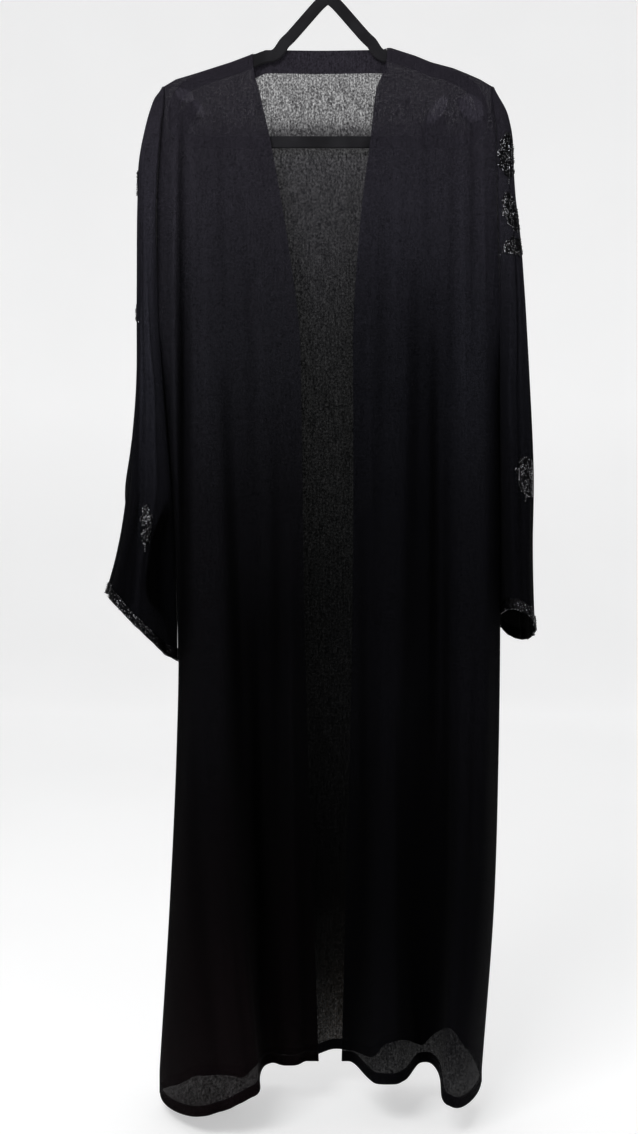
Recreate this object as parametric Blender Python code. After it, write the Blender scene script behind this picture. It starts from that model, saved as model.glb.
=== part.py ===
"""An open black abaya with beaded leaf appliques, hung on a slim flocked hanger.

Metres, +Z up. +X is the wearer's left, the front faces -Y, and the origin is the point on the
underside of the hook's top where a rail carries it. Every cloth piece is a thin wall round a grid
of middle points, worked out from the height tables below, and pieces that are sewn together stay
a seam's gap apart.
"""
import math

import bpy
import numpy as np

# Cloth
WALL = 0.0012  # thickness of every cloth wall
SEAM = 0.0003  # open gap between pieces that are sewn or that touch
TRIM_THICK = 0.0016  # beaded trims and appliques

# Levels and widths shared by several pieces
TIP_X = 0.224  # half width of the shoulder line, just past the hanger's ends
TIP_Z = -0.183  # height of the shoulder's end
UNDERARM_Z = -0.600
HEM_Z = -1.514
HEM_FOLLOWS_FOLD = 0.08  # how much lower the hem hangs for each metre that a fold stands out
HEM_SIDE_START = 0.110  # distance from the middle plane where the hem starts to drop
CORNER_RADIUS = 0.026  # width over which a front or the back turns into the side
CORNER_SHARE = 0.22  # share of a panel's width samples that lies on that turn
ARM_ROUND = 0.0040  # half depth of the cloth where it bends over a hanger arm
NECK_BACK_Y = 0.0064  # the back neck edge hangs this far behind the hanger
NECK_FREE = 0.006  # length over which it leaves the shoulder line at each end
LINE_DROP = 0.060  # drop below the shoulder line where the panels reach their table's widths
SETTLE_DROP = 0.120  # drop where they reach their table's depths
TURN_DROP = 0.080  # drop where they have turned fully into the side
FACING_HEIGHT = 0.028
CUFF_TRIM_HEIGHT = 0.015

# Grid sizes: rows run from shoulder to hem, columns across
UPPER_DROPS = (0.0, 0.0010, 0.0028, 0.0075, 0.0160, 0.0280, 0.0480, 0.0800)
BODY_ROWS_BELOW = 17
FRONT_COLUMNS = 24
BACK_COLUMNS = 38
SLEEVE_ROWS = 19
SLEEVE_COLUMNS = 25
FINE_SAMPLES = 500  # samples along a section before it is divided evenly

# Side of the body: -1 is the wearer's right at -X, +1 the wearer's left at +X
RIGHT, LEFT = -1, 1
SIDE_NAMES = {RIGHT: "right", LEFT: "left"}

# How much lower the fronts' hem is cut towards each side seam
HEM_SIDE_DROP = {RIGHT: 0.045, LEFT: 0.028}
# Level of the back's hem, which hangs lower on the wearer's right
BACK_HEM_COLUMNS = ("x", "z")
BACK_HEM = (
    (-0.230, -1.561),
    (-0.150, -1.562),
    (-0.090, -1.540),
    (0.000, -1.518),
    (0.080, -1.523),
    (0.136, -1.499),
    (0.185, -1.508),
    (0.212, -1.546),
)

# Shoulder line, straight between its points, each x and the height of the cloth's middle surface
SHOULDER = (
    (-0.224, -0.1830),
    (-0.208, -0.1735),
    (-0.181, -0.1654),
    (-0.133, -0.1500),
    (-0.108, -0.1406),
    (-0.086, -0.1304),
    (0.086, -0.1304),
    (0.119, -0.1410),
    (0.141, -0.1500),
    (0.171, -0.1580),
    (0.190, -0.1656),
    (0.208, -0.1735),
    (0.224, -0.1830),
)
NECK_X = {RIGHT: -0.103, LEFT: 0.081}  # where each front edge meets the shoulder
NECK_DIP = 0.0010  # sag of the back neck edge between the hanger's arms

# Half widths from the middle plane x = 0: side of the body and front opening edge
BODY_COLUMNS = ("z", "side", "edge")
BODY = {
    RIGHT: (
        (-0.130, 0.224, 0.103),
        (-0.183, 0.224, 0.095),
        (-0.257, 0.229, 0.079),
        (-0.340, 0.233, 0.064),
        (-0.430, 0.232, 0.050),
        (-0.518, 0.229, 0.039),
        (-0.620, 0.222, 0.036),
        (-0.760, 0.211, 0.034),
        (-0.963, 0.204, 0.031),
        (-1.100, 0.207, 0.027),
        (-1.300, 0.216, 0.020),
        (-1.530, 0.230, 0.012),
    ),
    LEFT: (
        (-0.130, 0.224, 0.081),
        (-0.183, 0.224, 0.067),
        (-0.257, 0.230, 0.058),
        (-0.340, 0.230, 0.047),
        (-0.430, 0.232, 0.039),
        (-0.518, 0.233, 0.034),
        (-0.620, 0.234, 0.034),
        (-0.760, 0.235, 0.034),
        (-0.963, 0.235, 0.032),
        (-1.100, 0.233, 0.029),
        (-1.300, 0.227, 0.024),
        (-1.530, 0.210, 0.018),
    ),
}

# Depth of the panels beyond the bend over the hanger, before folds
DEPTH_COLUMNS = ("z", "front", "back")
DEPTH = (
    (-0.130, 0.0000, 0.0000),
    (-0.257, 0.0035, 0.0040),
    (-0.340, 0.0070, 0.0090),
    (-0.460, 0.0120, 0.0150),
    (-0.600, 0.0170, 0.0210),
    (-0.760, 0.0210, 0.0260),
    (-0.963, 0.0230, 0.0290),
    (-1.200, 0.0180, 0.0300),
    (-1.530, 0.0060, 0.0260),
)

# Folds: height, x of the crest, half width, depth, lean of the crest along x
FOLD_COLUMNS = ("z", "x", "half_width", "depth", "lean")
FRONT_FOLDS = {
    RIGHT: (
        (
            (-0.300, -0.168, 0.030, 0.000, 0.000),
            (-0.700, -0.163, 0.034, 0.007, 0.000),
            (-0.880, -0.160, 0.038, 0.015, 0.000),
            (-1.020, -0.159, 0.044, 0.025, 0.002),
            (-1.250, -0.158, 0.064, 0.054, 0.018),
            (-1.530, -0.165, 0.100, 0.100, 0.048),
        ),
        (
            (-0.210, -0.190, 0.012, 0.0000, 0.000),
            (-0.300, -0.193, 0.014, -0.0035, 0.000),
            (-0.600, -0.194, 0.016, -0.0080, 0.000),
            (-0.850, -0.191, 0.013, -0.0050, 0.000),
            (-1.020, -0.188, 0.010, 0.0000, 0.000),
        ),
        (
            (-0.900, -0.060, 0.026, 0.000, 0.000),
            (-1.250, -0.058, 0.026, 0.006, 0.000),
            (-1.530, -0.052, 0.026, 0.014, 0.000),
        ),
    ),
    LEFT: (
        (
            (-0.260, 0.196, 0.034, 0.000, 0.000),
            (-0.600, 0.196, 0.038, 0.010, 0.000),
            (-1.020, 0.194, 0.040, 0.024, 0.000),
            (-1.300, 0.192, 0.044, 0.058, -0.010),
            (-1.530, 0.187, 0.052, 0.100, -0.026),
        ),
        (
            (-0.500, 0.088, 0.026, 0.000, 0.000),
            (-0.800, 0.086, 0.026, 0.005, 0.000),
            (-1.020, 0.084, 0.027, 0.011, 0.000),
            (-1.300, 0.079, 0.034, 0.034, 0.000),
            (-1.530, 0.078, 0.052, 0.070, 0.000),
        ),
        (
            (-0.400, 0.135, 0.022, 0.000, 0.000),
            (-0.800, 0.136, 0.024, -0.004, 0.000),
            (-1.100, 0.132, 0.022, -0.006, 0.000),
            (-1.530, 0.122, 0.018, 0.000, 0.000),
        ),
    ),
}
BACK_FOLDS = (
    (
        (-0.350, -0.160, 0.034, 0.000, 0.000),
        (-0.900, -0.158, 0.040, 0.018, 0.000),
        (-1.530, -0.165, 0.050, 0.048, -0.008),
    ),
    (
        (-0.500, -0.075, 0.032, 0.000, 0.000),
        (-1.000, -0.078, 0.036, 0.012, 0.000),
        (-1.530, -0.082, 0.040, 0.046, 0.006),
    ),
    (
        (-0.700, 0.018, 0.030, 0.000, 0.000),
        (-1.530, 0.022, 0.038, 0.018, 0.000),
    ),
    (
        (-0.420, 0.098, 0.032, 0.000, 0.000),
        (-1.000, 0.100, 0.036, 0.016, 0.000),
        (-1.530, 0.098, 0.040, 0.058, -0.005),
    ),
    (
        (-0.350, 0.170, 0.032, 0.000, 0.000),
        (-0.900, 0.168, 0.036, 0.014, 0.000),
        (-1.530, 0.160, 0.036, 0.052, 0.004),
    ),
)

# Sleeves: outline's half width, half depth, how far the front half is shifted out past the back
# half, and the space between the body's side and the sleeve's inner wall
SLEEVE_TABLE_COLUMNS = ("z", "outer", "half_depth", "turn", "clear")
SLEEVE_TABLE = {
    RIGHT: (
        (-0.183, 0.2268, 0.0040, 0.000, 0.000),
        (-0.189, 0.2300, 0.0045, 0.000, 0.000),
        (-0.197, 0.2362, 0.0055, 0.000, 0.000),
        (-0.214, 0.2432, 0.0075, 0.000, 0.000),
        (-0.238, 0.2500, 0.0105, 0.000, 0.000),
        (-0.285, 0.2580, 0.0160, 0.000, 0.000),
        (-0.340, 0.2595, 0.0220, 0.000, 0.000),
        (-0.463, 0.2605, 0.0340, 0.000, 0.000),
        (-0.614, 0.2640, 0.0450, 0.000, 0.000),
        (-0.682, 0.2700, 0.0490, 0.000, 0.000),
        (-0.740, 0.2760, 0.0530, 0.000, 0.000),
        (-0.770, 0.2800, 0.0545, 0.006, 0.000),
        (-0.826, 0.2905, 0.0570, 0.021, 0.001),
        (-0.890, 0.3080, 0.0600, 0.023, 0.001),
        (-0.935, 0.3170, 0.0610, 0.016, 0.001),
        (-0.970, 0.3210, 0.0620, 0.012, 0.002),
    ),
    LEFT: (
        (-0.183, 0.2268, 0.0040, 0.000, 0.000),
        (-0.189, 0.2295, 0.0045, 0.000, 0.000),
        (-0.197, 0.2340, 0.0055, 0.000, 0.000),
        (-0.214, 0.2435, 0.0075, 0.000, 0.000),
        (-0.238, 0.2500, 0.0105, 0.000, 0.000),
        (-0.292, 0.2530, 0.0170, 0.000, 0.000),
        (-0.340, 0.2565, 0.0220, 0.000, 0.000),
        (-0.374, 0.2610, 0.0260, 0.000, 0.000),
        (-0.456, 0.2680, 0.0330, 0.000, 0.000),
        (-0.600, 0.2760, 0.0440, 0.000, 0.000),
        (-0.700, 0.2800, 0.0500, 0.000, 0.000),
        (-0.826, 0.2795, 0.0560, 0.002, 0.001),
        (-0.900, 0.2815, 0.0590, 0.004, 0.005),
        (-0.970, 0.2860, 0.0600, 0.004, 0.006),
    ),
}
TURN_DEPTH = 0.35  # share of the half depth over which that shift sets in
SLEEVE_STEP = 0.0017  # from the body's side seam to the middle of the sleeve's wall
SLEEVE_TOP_STEP = 0.0010  # the same at the shoulder's end, where both walls face one way
SLEEVE_TOP_DROP = 0.0006
SLEEVE_WAVES = 5
SLEEVE_WAVE_SHARE = 0.055  # wave height as a share of the ring's half sizes at the cuff
# Cuff edge: mean height, rise at the outer side over the inner, rise at the front over the back
CUFF = {RIGHT: (-0.924, 0.044, 0.018), LEFT: (-0.920, -0.014, 0.018)}

# Appliques: name, piece it lies on, height, place round the sleeve or x, length, width, turn, and
# the extra space under it where it wraps round the corners between the wall's flat facets
APPLIQUE_COLUMNS = ("name", "piece", "z", "place", "length", "width", "turn", "lift")
APPLIQUES = (
    ("leaf_left_1", "sleeve_left", -0.284, -0.46, 0.054, 0.018, 3.0, 0.0006),
    ("leaf_left_2", "sleeve_left", -0.352, -0.60, 0.048, 0.022, -14.0, 0.0010),
    ("leaf_left_3", "sleeve_left", -0.424, -0.50, 0.034, 0.018, 66.0, 0.0010),
    ("leaf_left_4", "sleeve_left", -0.732, -0.42, 0.048, 0.026, 8.0, 0.0012),
    ("leaf_left_5", "sleeve_left", -0.560, 0.26, 0.054, 0.034, -12.0, 0.0006),
    ("leaf_right_1", "sleeve_right", -0.476, -0.10, 0.046, 0.022, 64.0, 0.0006),
    ("leaf_right_2", "sleeve_right", -0.808, -0.58, 0.048, 0.028, 12.0, 0.0009),
    ("leaf_right_3", "sleeve_right", -0.340, 0.22, 0.050, 0.026, -10.0, 0.0006),
    ("leaf_right_4", "sleeve_right", -0.640, 0.28, 0.054, 0.036, 14.0, 0.0006),
    ("leaf_shoulder_left_1", "back", -0.222, 0.150, 0.052, 0.032, 35.0, 0.0006),
    ("leaf_shoulder_left_2", "back", -0.226, 0.196, 0.046, 0.030, -30.0, 0.0006),
    ("leaf_shoulder_right", "back", -0.214, -0.188, 0.046, 0.030, 25.0, 0.0006),
)
APPLIQUE_ROWS = 5
APPLIQUE_COLUMNS_ACROSS = 10
APPLIQUE_TIP = 0.16  # width left at each pointed end, as a share of the whole

# Hanger
BAND = 0.016  # height of the arms and the crossbar
HANGER_THICK = 0.005
HANGER_EDGE = 0.0012  # bevel along the hanger's edges
HANGER_CLEAR = 0.0009
HANGER_END_X = 0.2205
BAR_BOTTOM_Z = -0.267
APEX_Z = -0.044
NECK_BEND_X = 0.0738
NECK_BEND_Z = -0.1290
HANGER_SPACING = 0.0125
FACET_REACH = 0.007  # the cloth's flat facets cut off the shoulder line's corners over this reach
HANGER_SMOOTHING = 4

# Hook
HOOK_WIRE = 0.0019  # radius of the wire
HOOK_RADIUS = 0.019  # middle of the wire
HOOK_END_ANGLE = 205.0
HOOK_SIDES = 10
HOOK_STEPS = 22
FERRULE_RADIUS = 0.0045
FERRULE_HEIGHT = 0.010

BLACK_CLOTH = (0.008, 0.008, 0.009)
BLACK_FLOCK = (0.010, 0.010, 0.010)
DARK_BEADS = (0.050, 0.050, 0.055)
STEEL = (0.60, 0.60, 0.62)


def clear_scene():
    """Empty the scene before the part is modelled."""
    for item in list(bpy.data.objects):
        bpy.data.objects.remove(item, do_unlink=True)


def make_material(name, colour, roughness, metallic=0.0):
    """Principled material with one colour."""
    material = bpy.data.materials.new(name)
    material.use_nodes = True
    shader = material.node_tree.nodes["Principled BSDF"]
    shader.inputs["Base Color"].default_value = (*colour, 1.0)
    shader.inputs["Roughness"].default_value = roughness
    shader.inputs["Metallic"].default_value = metallic
    return material


def curve(rows, columns, name, at):
    """Value of a table's named column at `at`, on a smooth curve through the rows.

    Cubic pieces between neighbouring rows, each with the slope of its row's neighbours.
    """
    table = np.array(rows)[np.argsort([row[0] for row in rows])]
    keys = table[:, 0]
    values = table[:, columns.index(name)]
    slopes = np.gradient(values, keys)
    at = np.clip(at, keys[0], keys[-1])
    k = np.clip(np.searchsorted(keys, at) - 1, 0, len(keys) - 2)
    span = keys[k + 1] - keys[k]
    t = (at - keys[k]) / span
    start = (1 + 2 * t) * (1 - t) ** 2 * values[k] + t * (1 - t) ** 2 * span * slopes[k]
    end = t**2 * (3 - 2 * t) * values[k + 1] + t**2 * (t - 1) * span * slopes[k + 1]
    return start + end


def ease(value):
    """Smooth step from 0 to 1 as the value goes from 0 to 1."""
    value = np.clip(value, 0.0, 1.0)
    return value * value * (3 - 2 * value)


def shoulder_height(x):
    """Height of the shoulder line at x."""
    points = np.array(SHOULDER)
    return np.interp(x, points[:, 0], points[:, 1])


def bend_over_arm(drop):
    """0 on the shoulder line to 1 where the cloth has rounded the hanger's arm."""
    return np.sqrt(1 - (1 - np.clip(drop / ARM_ROUND, 0.0, 1.0)) ** 2)


def underarm_angle(z):
    """Half angle of the sleeve's section, open to the body above the underarm, closed below."""
    share = np.clip((TIP_Z - z) / (TIP_Z - UNDERARM_Z), 0.0, 1.0)
    return math.radians(90) * (1 + share**1.5)


def armhole_half_depth(side, z):
    """Half depth of the armhole at a height, and half a seam's gap where it has closed."""
    half = curve(SLEEVE_TABLE[side], SLEEVE_TABLE_COLUMNS, "half_depth", z)
    opened = half * np.sin(underarm_angle(z)) * bend_over_arm(TIP_Z - z)
    return np.maximum(opened, SEAM / 2)


def side_line(side, z):
    """Distance from the middle plane to the armhole edge and, below it, to the side seam."""
    settled = ease((TIP_Z - z) / LINE_DROP)
    return TIP_X + (curve(BODY[side], BODY_COLUMNS, "side", z) - TIP_X) * settled


def fold_heights(folds, x, z):
    """Depth and sideways lean that a table of folds adds at x and z.

    Each fold is a raised cosine r across its width, rounded at the crest as r * (2 - r).
    """
    depth = np.zeros(np.broadcast(x, z).shape)
    lean = np.zeros_like(depth)
    for rows in folds:
        centre = curve(rows, FOLD_COLUMNS, "x", z)
        half = curve(rows, FOLD_COLUMNS, "half_width", z)
        across = np.clip((x - centre) / half, -1.0, 1.0)
        raised = 0.5 * (1 + np.cos(math.pi * across))
        crest = raised * (2 - raised)
        depth += crest * curve(rows, FOLD_COLUMNS, "depth", z)
        lean += crest**2 * curve(rows, FOLD_COLUMNS, "lean", z)
    return depth, lean


def even_columns(points, count):
    """Divide each row of points into the same number of equal steps along its length."""
    result = np.empty((points.shape[0], count, 3))
    for index, row in enumerate(points):
        steps = np.linalg.norm(np.diff(row, axis=0), axis=1)
        along = np.concatenate(([0.0], np.cumsum(steps)))
        targets = np.linspace(0.0, along[-1], count)
        for axis in range(3):
            result[index, :, axis] = np.interp(targets, along, row[:, axis])
    return result


def drops_below(length):
    """Distances of the rows below the shoulder line, for columns of the given lengths."""
    upper = np.array(UPPER_DROPS)[:, None] * np.ones_like(length)
    shares = np.linspace(0.0, 1.0, BODY_ROWS_BELOW + 1)[1:, None]
    lower = UPPER_DROPS[-1] + shares * (length - UPPER_DROPS[-1])
    return np.vstack((upper, lower))


def front_hem(side, x):
    """A front's hem level at x, lower towards the side seam and where a fold stands out."""
    depth, _lean = fold_heights(FRONT_FOLDS[side], x, np.full_like(x, HEM_Z))
    share = ease((np.abs(x) - HEM_SIDE_START) / (TIP_X - HEM_SIDE_START))
    return HEM_Z - HEM_FOLLOWS_FOLD * depth - HEM_SIDE_DROP[side] * share


def back_hem(x):
    """The back's hem level at x, from its table and lower where a fold stands out."""
    depth, _lean = fold_heights(BACK_FOLDS, x, np.full_like(x, HEM_Z))
    return curve(BACK_HEM, BACK_HEM_COLUMNS, "z", x) - HEM_FOLLOWS_FOLD * depth


def front_points(side):
    """Middle points of one front, from its opening edge round to the side or the armhole.

    Down each column the cloth bends over the hanger's arm, then hangs at the table's depth and
    folds. Across, the last share of the width turns back through a quarter ellipse to the seam.
    """
    across = np.linspace(0.0, 1.0, FINE_SAMPLES)
    flat = np.clip(across / (1 - CORNER_SHARE), 0.0, 1.0)
    angle = math.radians(90) * np.clip((across - 1 + CORNER_SHARE) / CORNER_SHARE, 0.0, 1.0)
    top_x = NECK_X[side] + (side * TIP_X - NECK_X[side]) * across
    top_z = shoulder_height(top_x)
    hem_side = side * curve(BODY[side], BODY_COLUMNS, "side", HEM_Z)
    hem_edge = side * curve(BODY[side], BODY_COLUMNS, "edge", HEM_Z)
    hem_z = front_hem(side, hem_edge + (hem_side - hem_edge) * across)
    drop = drops_below(top_z - hem_z)
    z = top_z - drop
    edge = curve(BODY[side], BODY_COLUMNS, "edge", z)
    turn_start = curve(BODY[side], BODY_COLUMNS, "side", z) - CORNER_RADIUS
    section_x = side * (edge + (turn_start - edge) * flat + CORNER_RADIUS * np.sin(angle))
    x = top_x + (section_x - top_x) * ease(drop / LINE_DROP)
    settled = ease(drop / SETTLE_DROP)
    fold, lean = fold_heights(FRONT_FOLDS[side], x, z)
    depth = ARM_ROUND * bend_over_arm(drop)
    depth = depth + settled * (curve(DEPTH, DEPTH_COLUMNS, "front", z) + fold)
    end = np.minimum(armhole_half_depth(side, z), np.maximum(depth, SEAM / 2))
    facing = np.cos(angle * ease(drop / TURN_DROP))
    y = np.minimum(-(depth * facing + end * (1 - facing)), -SEAM / 2)
    return even_columns(np.stack((x + lean * facing, y, z), axis=-1), FRONT_COLUMNS)


def back_points():
    """Middle points of the back, from the wearer's right side across to the left.

    Like the fronts, with a turn at each side, and at the neck its edge hangs free behind the
    hanger instead of bending over it.
    """
    across = np.linspace(-1.0, 1.0, 2 * FINE_SAMPLES)
    flat = np.clip(across / (1 - CORNER_SHARE / 2), -1.0, 1.0)
    past = (np.abs(across) - 1 + CORNER_SHARE / 2) / (CORNER_SHARE / 2)
    angle = math.radians(90) * np.clip(past, 0.0, 1.0)
    top_x = TIP_X * across
    middle = (NECK_X[RIGHT] + NECK_X[LEFT]) / 2
    half_neck = (NECK_X[LEFT] - NECK_X[RIGHT]) / 2
    inside_neck = half_neck - np.abs(top_x - middle)
    dip = NECK_DIP * ease((inside_neck - NECK_FREE) / (half_neck - NECK_FREE))
    top_z = shoulder_height(top_x) - dip
    hem_sides = [curve(BODY[s], BODY_COLUMNS, "side", HEM_Z) for s in (RIGHT, LEFT)]
    hem_x = np.interp(across, (-1.0, 1.0), (-hem_sides[0], hem_sides[1]))
    drop = drops_below(top_z - back_hem(hem_x))
    z = top_z - drop
    right = -curve(BODY[RIGHT], BODY_COLUMNS, "side", z) + CORNER_RADIUS
    left = curve(BODY[LEFT], BODY_COLUMNS, "side", z) - CORNER_RADIUS
    section_x = right + (left - right) * (flat + 1) / 2
    section_x = section_x + np.sign(across) * CORNER_RADIUS * np.sin(angle)
    x = top_x + (section_x - top_x) * ease(drop / LINE_DROP)
    settled = ease(drop / SETTLE_DROP)
    fold, lean = fold_heights(BACK_FOLDS, x, z)
    free = ease(inside_neck / NECK_FREE)
    bend = np.maximum(bend_over_arm(drop), free)
    depth = (ARM_ROUND + (NECK_BACK_Y - ARM_ROUND) * free) * bend
    depth = depth + settled * (curve(DEPTH, DEPTH_COLUMNS, "back", z) + fold)
    armhole = np.where(
        across < 0, armhole_half_depth(RIGHT, z), armhole_half_depth(LEFT, z)
    )
    end = np.minimum(armhole, np.maximum(depth, SEAM / 2))
    facing = np.cos(angle * ease(drop / TURN_DROP))
    y = np.maximum(depth * facing + end * (1 - facing), SEAM / 2)
    return even_columns(np.stack((x + lean * facing, y, z), axis=-1), BACK_COLUMNS)


def sleeve_points(side, round_share, down_share):
    """Middle points of a sleeve, as a function of two shares.

    round_share runs from -1 at the front edge over 0 at the outer side to 1 at the back edge,
    and down_share from 0 at the shoulder's end to 1 at the cuff. Each section is an ellipse that
    is open to the body down to the underarm and closed below it, pushed out at the front by the
    table's turn, with soft waves towards the cuff.
    """
    cuff_z, outer_rise, front_rise = CUFF[side]
    full = math.pi * round_share
    bottom = cuff_z + outer_rise * np.cos(full) - front_rise * np.sin(full)
    top = TIP_Z - SLEEVE_TOP_DROP
    z = top + (bottom - top) * down_share
    table = SLEEVE_TABLE[side]
    half_depth = curve(table, SLEEVE_TABLE_COLUMNS, "half_depth", z)
    outer = curve(table, SLEEVE_TABLE_COLUMNS, "outer", z)
    turn = curve(table, SLEEVE_TABLE_COLUMNS, "turn", z)
    clear = curve(table, SLEEVE_TABLE_COLUMNS, "clear", z)
    step = SLEEVE_TOP_STEP + (SLEEVE_STEP - SLEEVE_TOP_STEP) * ease((TIP_Z - z) / TURN_DROP)
    inner = side_line(side, z) + step + clear
    opened = underarm_angle(z)
    widest = math.pi - np.arcsin(np.minimum(SEAM / half_depth, 0.9))
    angle = round_share * np.minimum(opened, widest)
    half_width = (outer - turn - inner) / (1 - np.cos(opened))
    middle = outer - turn - half_width
    below = ease((UNDERARM_Z - 0.03 - z) / 0.25)
    wave = 1 + SLEEVE_WAVE_SHARE * below * (np.cos(SLEEVE_WAVES * angle) - 1) / 2
    x = middle + half_width * wave * np.cos(angle)
    x = x + turn * ease(-np.sin(angle) / TURN_DEPTH)
    y = half_depth * wave * np.sin(angle) * np.maximum(bend_over_arm(TIP_Z - z), 0.5)
    return np.stack((side * x, y, z), axis=-1)


def sleeve_grid(side):
    """Grid of a sleeve, with its last row of cells as high as the cuff trim."""
    length = TIP_Z - CUFF[side][0]
    rows = np.linspace(0.0, 1.0, SLEEVE_ROWS - 3) ** 1.25 * (1 - CUFF_TRIM_HEIGHT / length)
    first = np.array([0.0, 0.006, 0.014])
    rows = np.sort(np.concatenate((first, rows[1:], [1.0])))
    columns = np.linspace(-1.0, 1.0, SLEEVE_COLUMNS)
    across, down = np.meshgrid(columns, rows)
    return sleeve_points(side, across, down)


def outward_normals(points):
    """Unit normals of a grid, from its differences along rows and columns."""
    along = np.gradient(points, axis=1)
    down = np.gradient(points, axis=0)
    normals = np.cross(down, along)
    return normals / np.linalg.norm(normals, axis=-1, keepdims=True)


def solid_from_layers(name, upper, lower, material):
    """Closed solid between two grids of points, with triangles that match on both layers."""
    rows, columns = upper.shape[:2]
    index = np.arange(rows * columns).reshape(rows, columns)
    a, b = index[:-1, :-1].ravel(), index[:-1, 1:].ravel()
    c, d = index[1:, 1:].ravel(), index[1:, :-1].ravel()
    layer = np.concatenate((np.stack((a, b, c), 1), np.stack((a, c, d), 1)))
    other = layer[:, ::-1] + rows * columns
    loop = np.concatenate((index[0, :-1], index[:-1, -1], index[-1, :0:-1], index[:0:-1, 0]))
    following = np.roll(loop, -1)
    under = rows * columns
    rim_a = np.stack((following, loop, loop + under), 1)
    rim_b = np.stack((following, loop + under, following + under), 1)
    faces = np.concatenate((layer, other, rim_a, rim_b))
    vertices = np.concatenate((upper.reshape(-1, 3), lower.reshape(-1, 3)))
    corners = vertices[faces]
    if np.sum(corners[:, 0] * np.cross(corners[:, 1], corners[:, 2])) < 0:
        faces = faces[:, ::-1]
    return add_mesh(name, vertices, faces.tolist(), material)


def add_mesh(name, vertices, faces, material):
    """Object from vertices and faces, shaded smooth where it turns softly."""
    mesh = bpy.data.meshes.new(name)
    mesh.from_pydata([tuple(v) for v in vertices], [], faces)
    mesh.materials.append(material)
    mesh.shade_smooth()
    mesh.set_sharp_from_angle(angle=math.radians(40))
    piece = bpy.data.objects.new(name, mesh)
    bpy.context.collection.objects.link(piece)
    return piece


def cloth_wall(name, points, facing, material, thickness=WALL, offset=0.0, stays=0):
    """Wall round a grid of middle points; facing is +1 where its normals already point out.

    stays is -1 or +1 for a panel that ends at the shoulder and side seams, so that no corner of
    its wall crosses to the other side of the plane y = 0 where it meets its neighbour.
    """
    normals = facing * outward_normals(points)
    upper = points + normals * (offset + thickness / 2)
    lower = points + normals * (offset - thickness / 2)
    for layer in (upper, lower):
        if stays:
            layer[..., 1] = stays * np.maximum(stays * layer[..., 1], SEAM / 2)
    return solid_from_layers(name, upper, lower, material)


def sample_grid(grid, rows, columns):
    """Points on a grid's own triangles, two to a cell, at fractional rows and columns."""
    row = np.clip(np.floor(rows).astype(int), 0, grid.shape[0] - 2)
    column = np.clip(np.floor(columns).astype(int), 0, grid.shape[1] - 2)
    down = (rows - row)[..., None]
    along = (columns - column)[..., None]
    first, last = grid[row, column], grid[row + 1, column + 1]
    beside, under = grid[row, column + 1], grid[row + 1, column]
    right_half = first + along * (beside - first) + down * (last - beside)
    left_half = first + down * (under - first) + along * (last - under)
    return np.where(along >= down, right_half, left_half)


def applique(row, grid, facing, nearest, material):
    """Leaf-shaped patch on a panel, from the panel's own points moved out by its thickness.

    Its half width follows the square root of a parabola along the leaf, and stays a little
    above nothing at the two points.
    """
    item = dict(zip(APPLIQUE_COLUMNS, row))
    centre_row, centre_column = nearest
    lengths = np.linspace(-1.0, 1.0, APPLIQUE_ROWS)
    widths = np.linspace(-1.0, 1.0, APPLIQUE_COLUMNS_ACROSS)
    across, along = np.meshgrid(widths, lengths)
    shape = APPLIQUE_TIP + (1 - APPLIQUE_TIP) * np.sqrt(1 - along**2)
    sideways = across * shape * item["width"] / 2
    lengthways = along * item["length"] / 2
    turn = math.radians(item["turn"])
    right = sideways * math.cos(turn) - lengthways * math.sin(turn)
    down = sideways * math.sin(turn) + lengthways * math.cos(turn)
    two_rows = grid[centre_row + 1, centre_column] - grid[centre_row - 1, centre_column]
    two_columns = grid[centre_row, centre_column + 1] - grid[centre_row, centre_column - 1]
    rows = centre_row + 2 * down / np.linalg.norm(two_rows)
    columns = centre_column + 2 * right / np.linalg.norm(two_columns)
    points = sample_grid(grid, rows, columns)
    normals = sample_grid(facing * outward_normals(grid), rows, columns)
    normals = normals / np.linalg.norm(normals, axis=-1, keepdims=True)
    under = WALL / 2 + SEAM + item["lift"]
    lower = points + normals * under
    upper = points + normals * (under + TRIM_THICK)
    return solid_from_layers(item["name"], upper, lower, material)


def nearest_on_sleeve(grid, z, place):
    """Row and column of a sleeve's grid nearest a height and a place round it."""
    column = int(round((place + 1) / 2 * (SLEEVE_COLUMNS - 1)))
    row = int(np.argmin(np.abs(grid[:, column, 2] - z)))
    return row, column


def nearest_on_back(grid, z, x):
    """Row and column of the back's grid nearest a height and an x."""
    distance = np.hypot(grid[:, :, 0] - x, grid[:, :, 2] - z)
    row, column = np.unravel_index(np.argmin(distance), distance.shape)
    return int(row), int(column)


def hanger_outline():
    """Outer loop of the hanger in the XZ plane: arms under the shoulder line, ends and crossbar."""
    under_cloth = WALL / 2 + HANGER_CLEAR
    corners = [(0.0, APEX_Z)]
    for side in (LEFT, RIGHT):
        xs = [side * x for x in (0.100, 0.125, 0.150, 0.175, 0.200)]
        arm = [(side * NECK_BEND_X, NECK_BEND_Z)]
        arm += [(x, float(shoulder_height(x)) - under_cloth) for x in xs]
        arm.append((side * HANGER_END_X, -0.200))
        arm.append((side * HANGER_END_X, BAR_BOTTOM_Z + 0.020))
        arm.append((side * (HANGER_END_X - 0.020), BAR_BOTTOM_Z))
        corners += arm if side == LEFT else arm[::-1]
    corners.append(corners[0])
    return np.array(corners)


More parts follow.
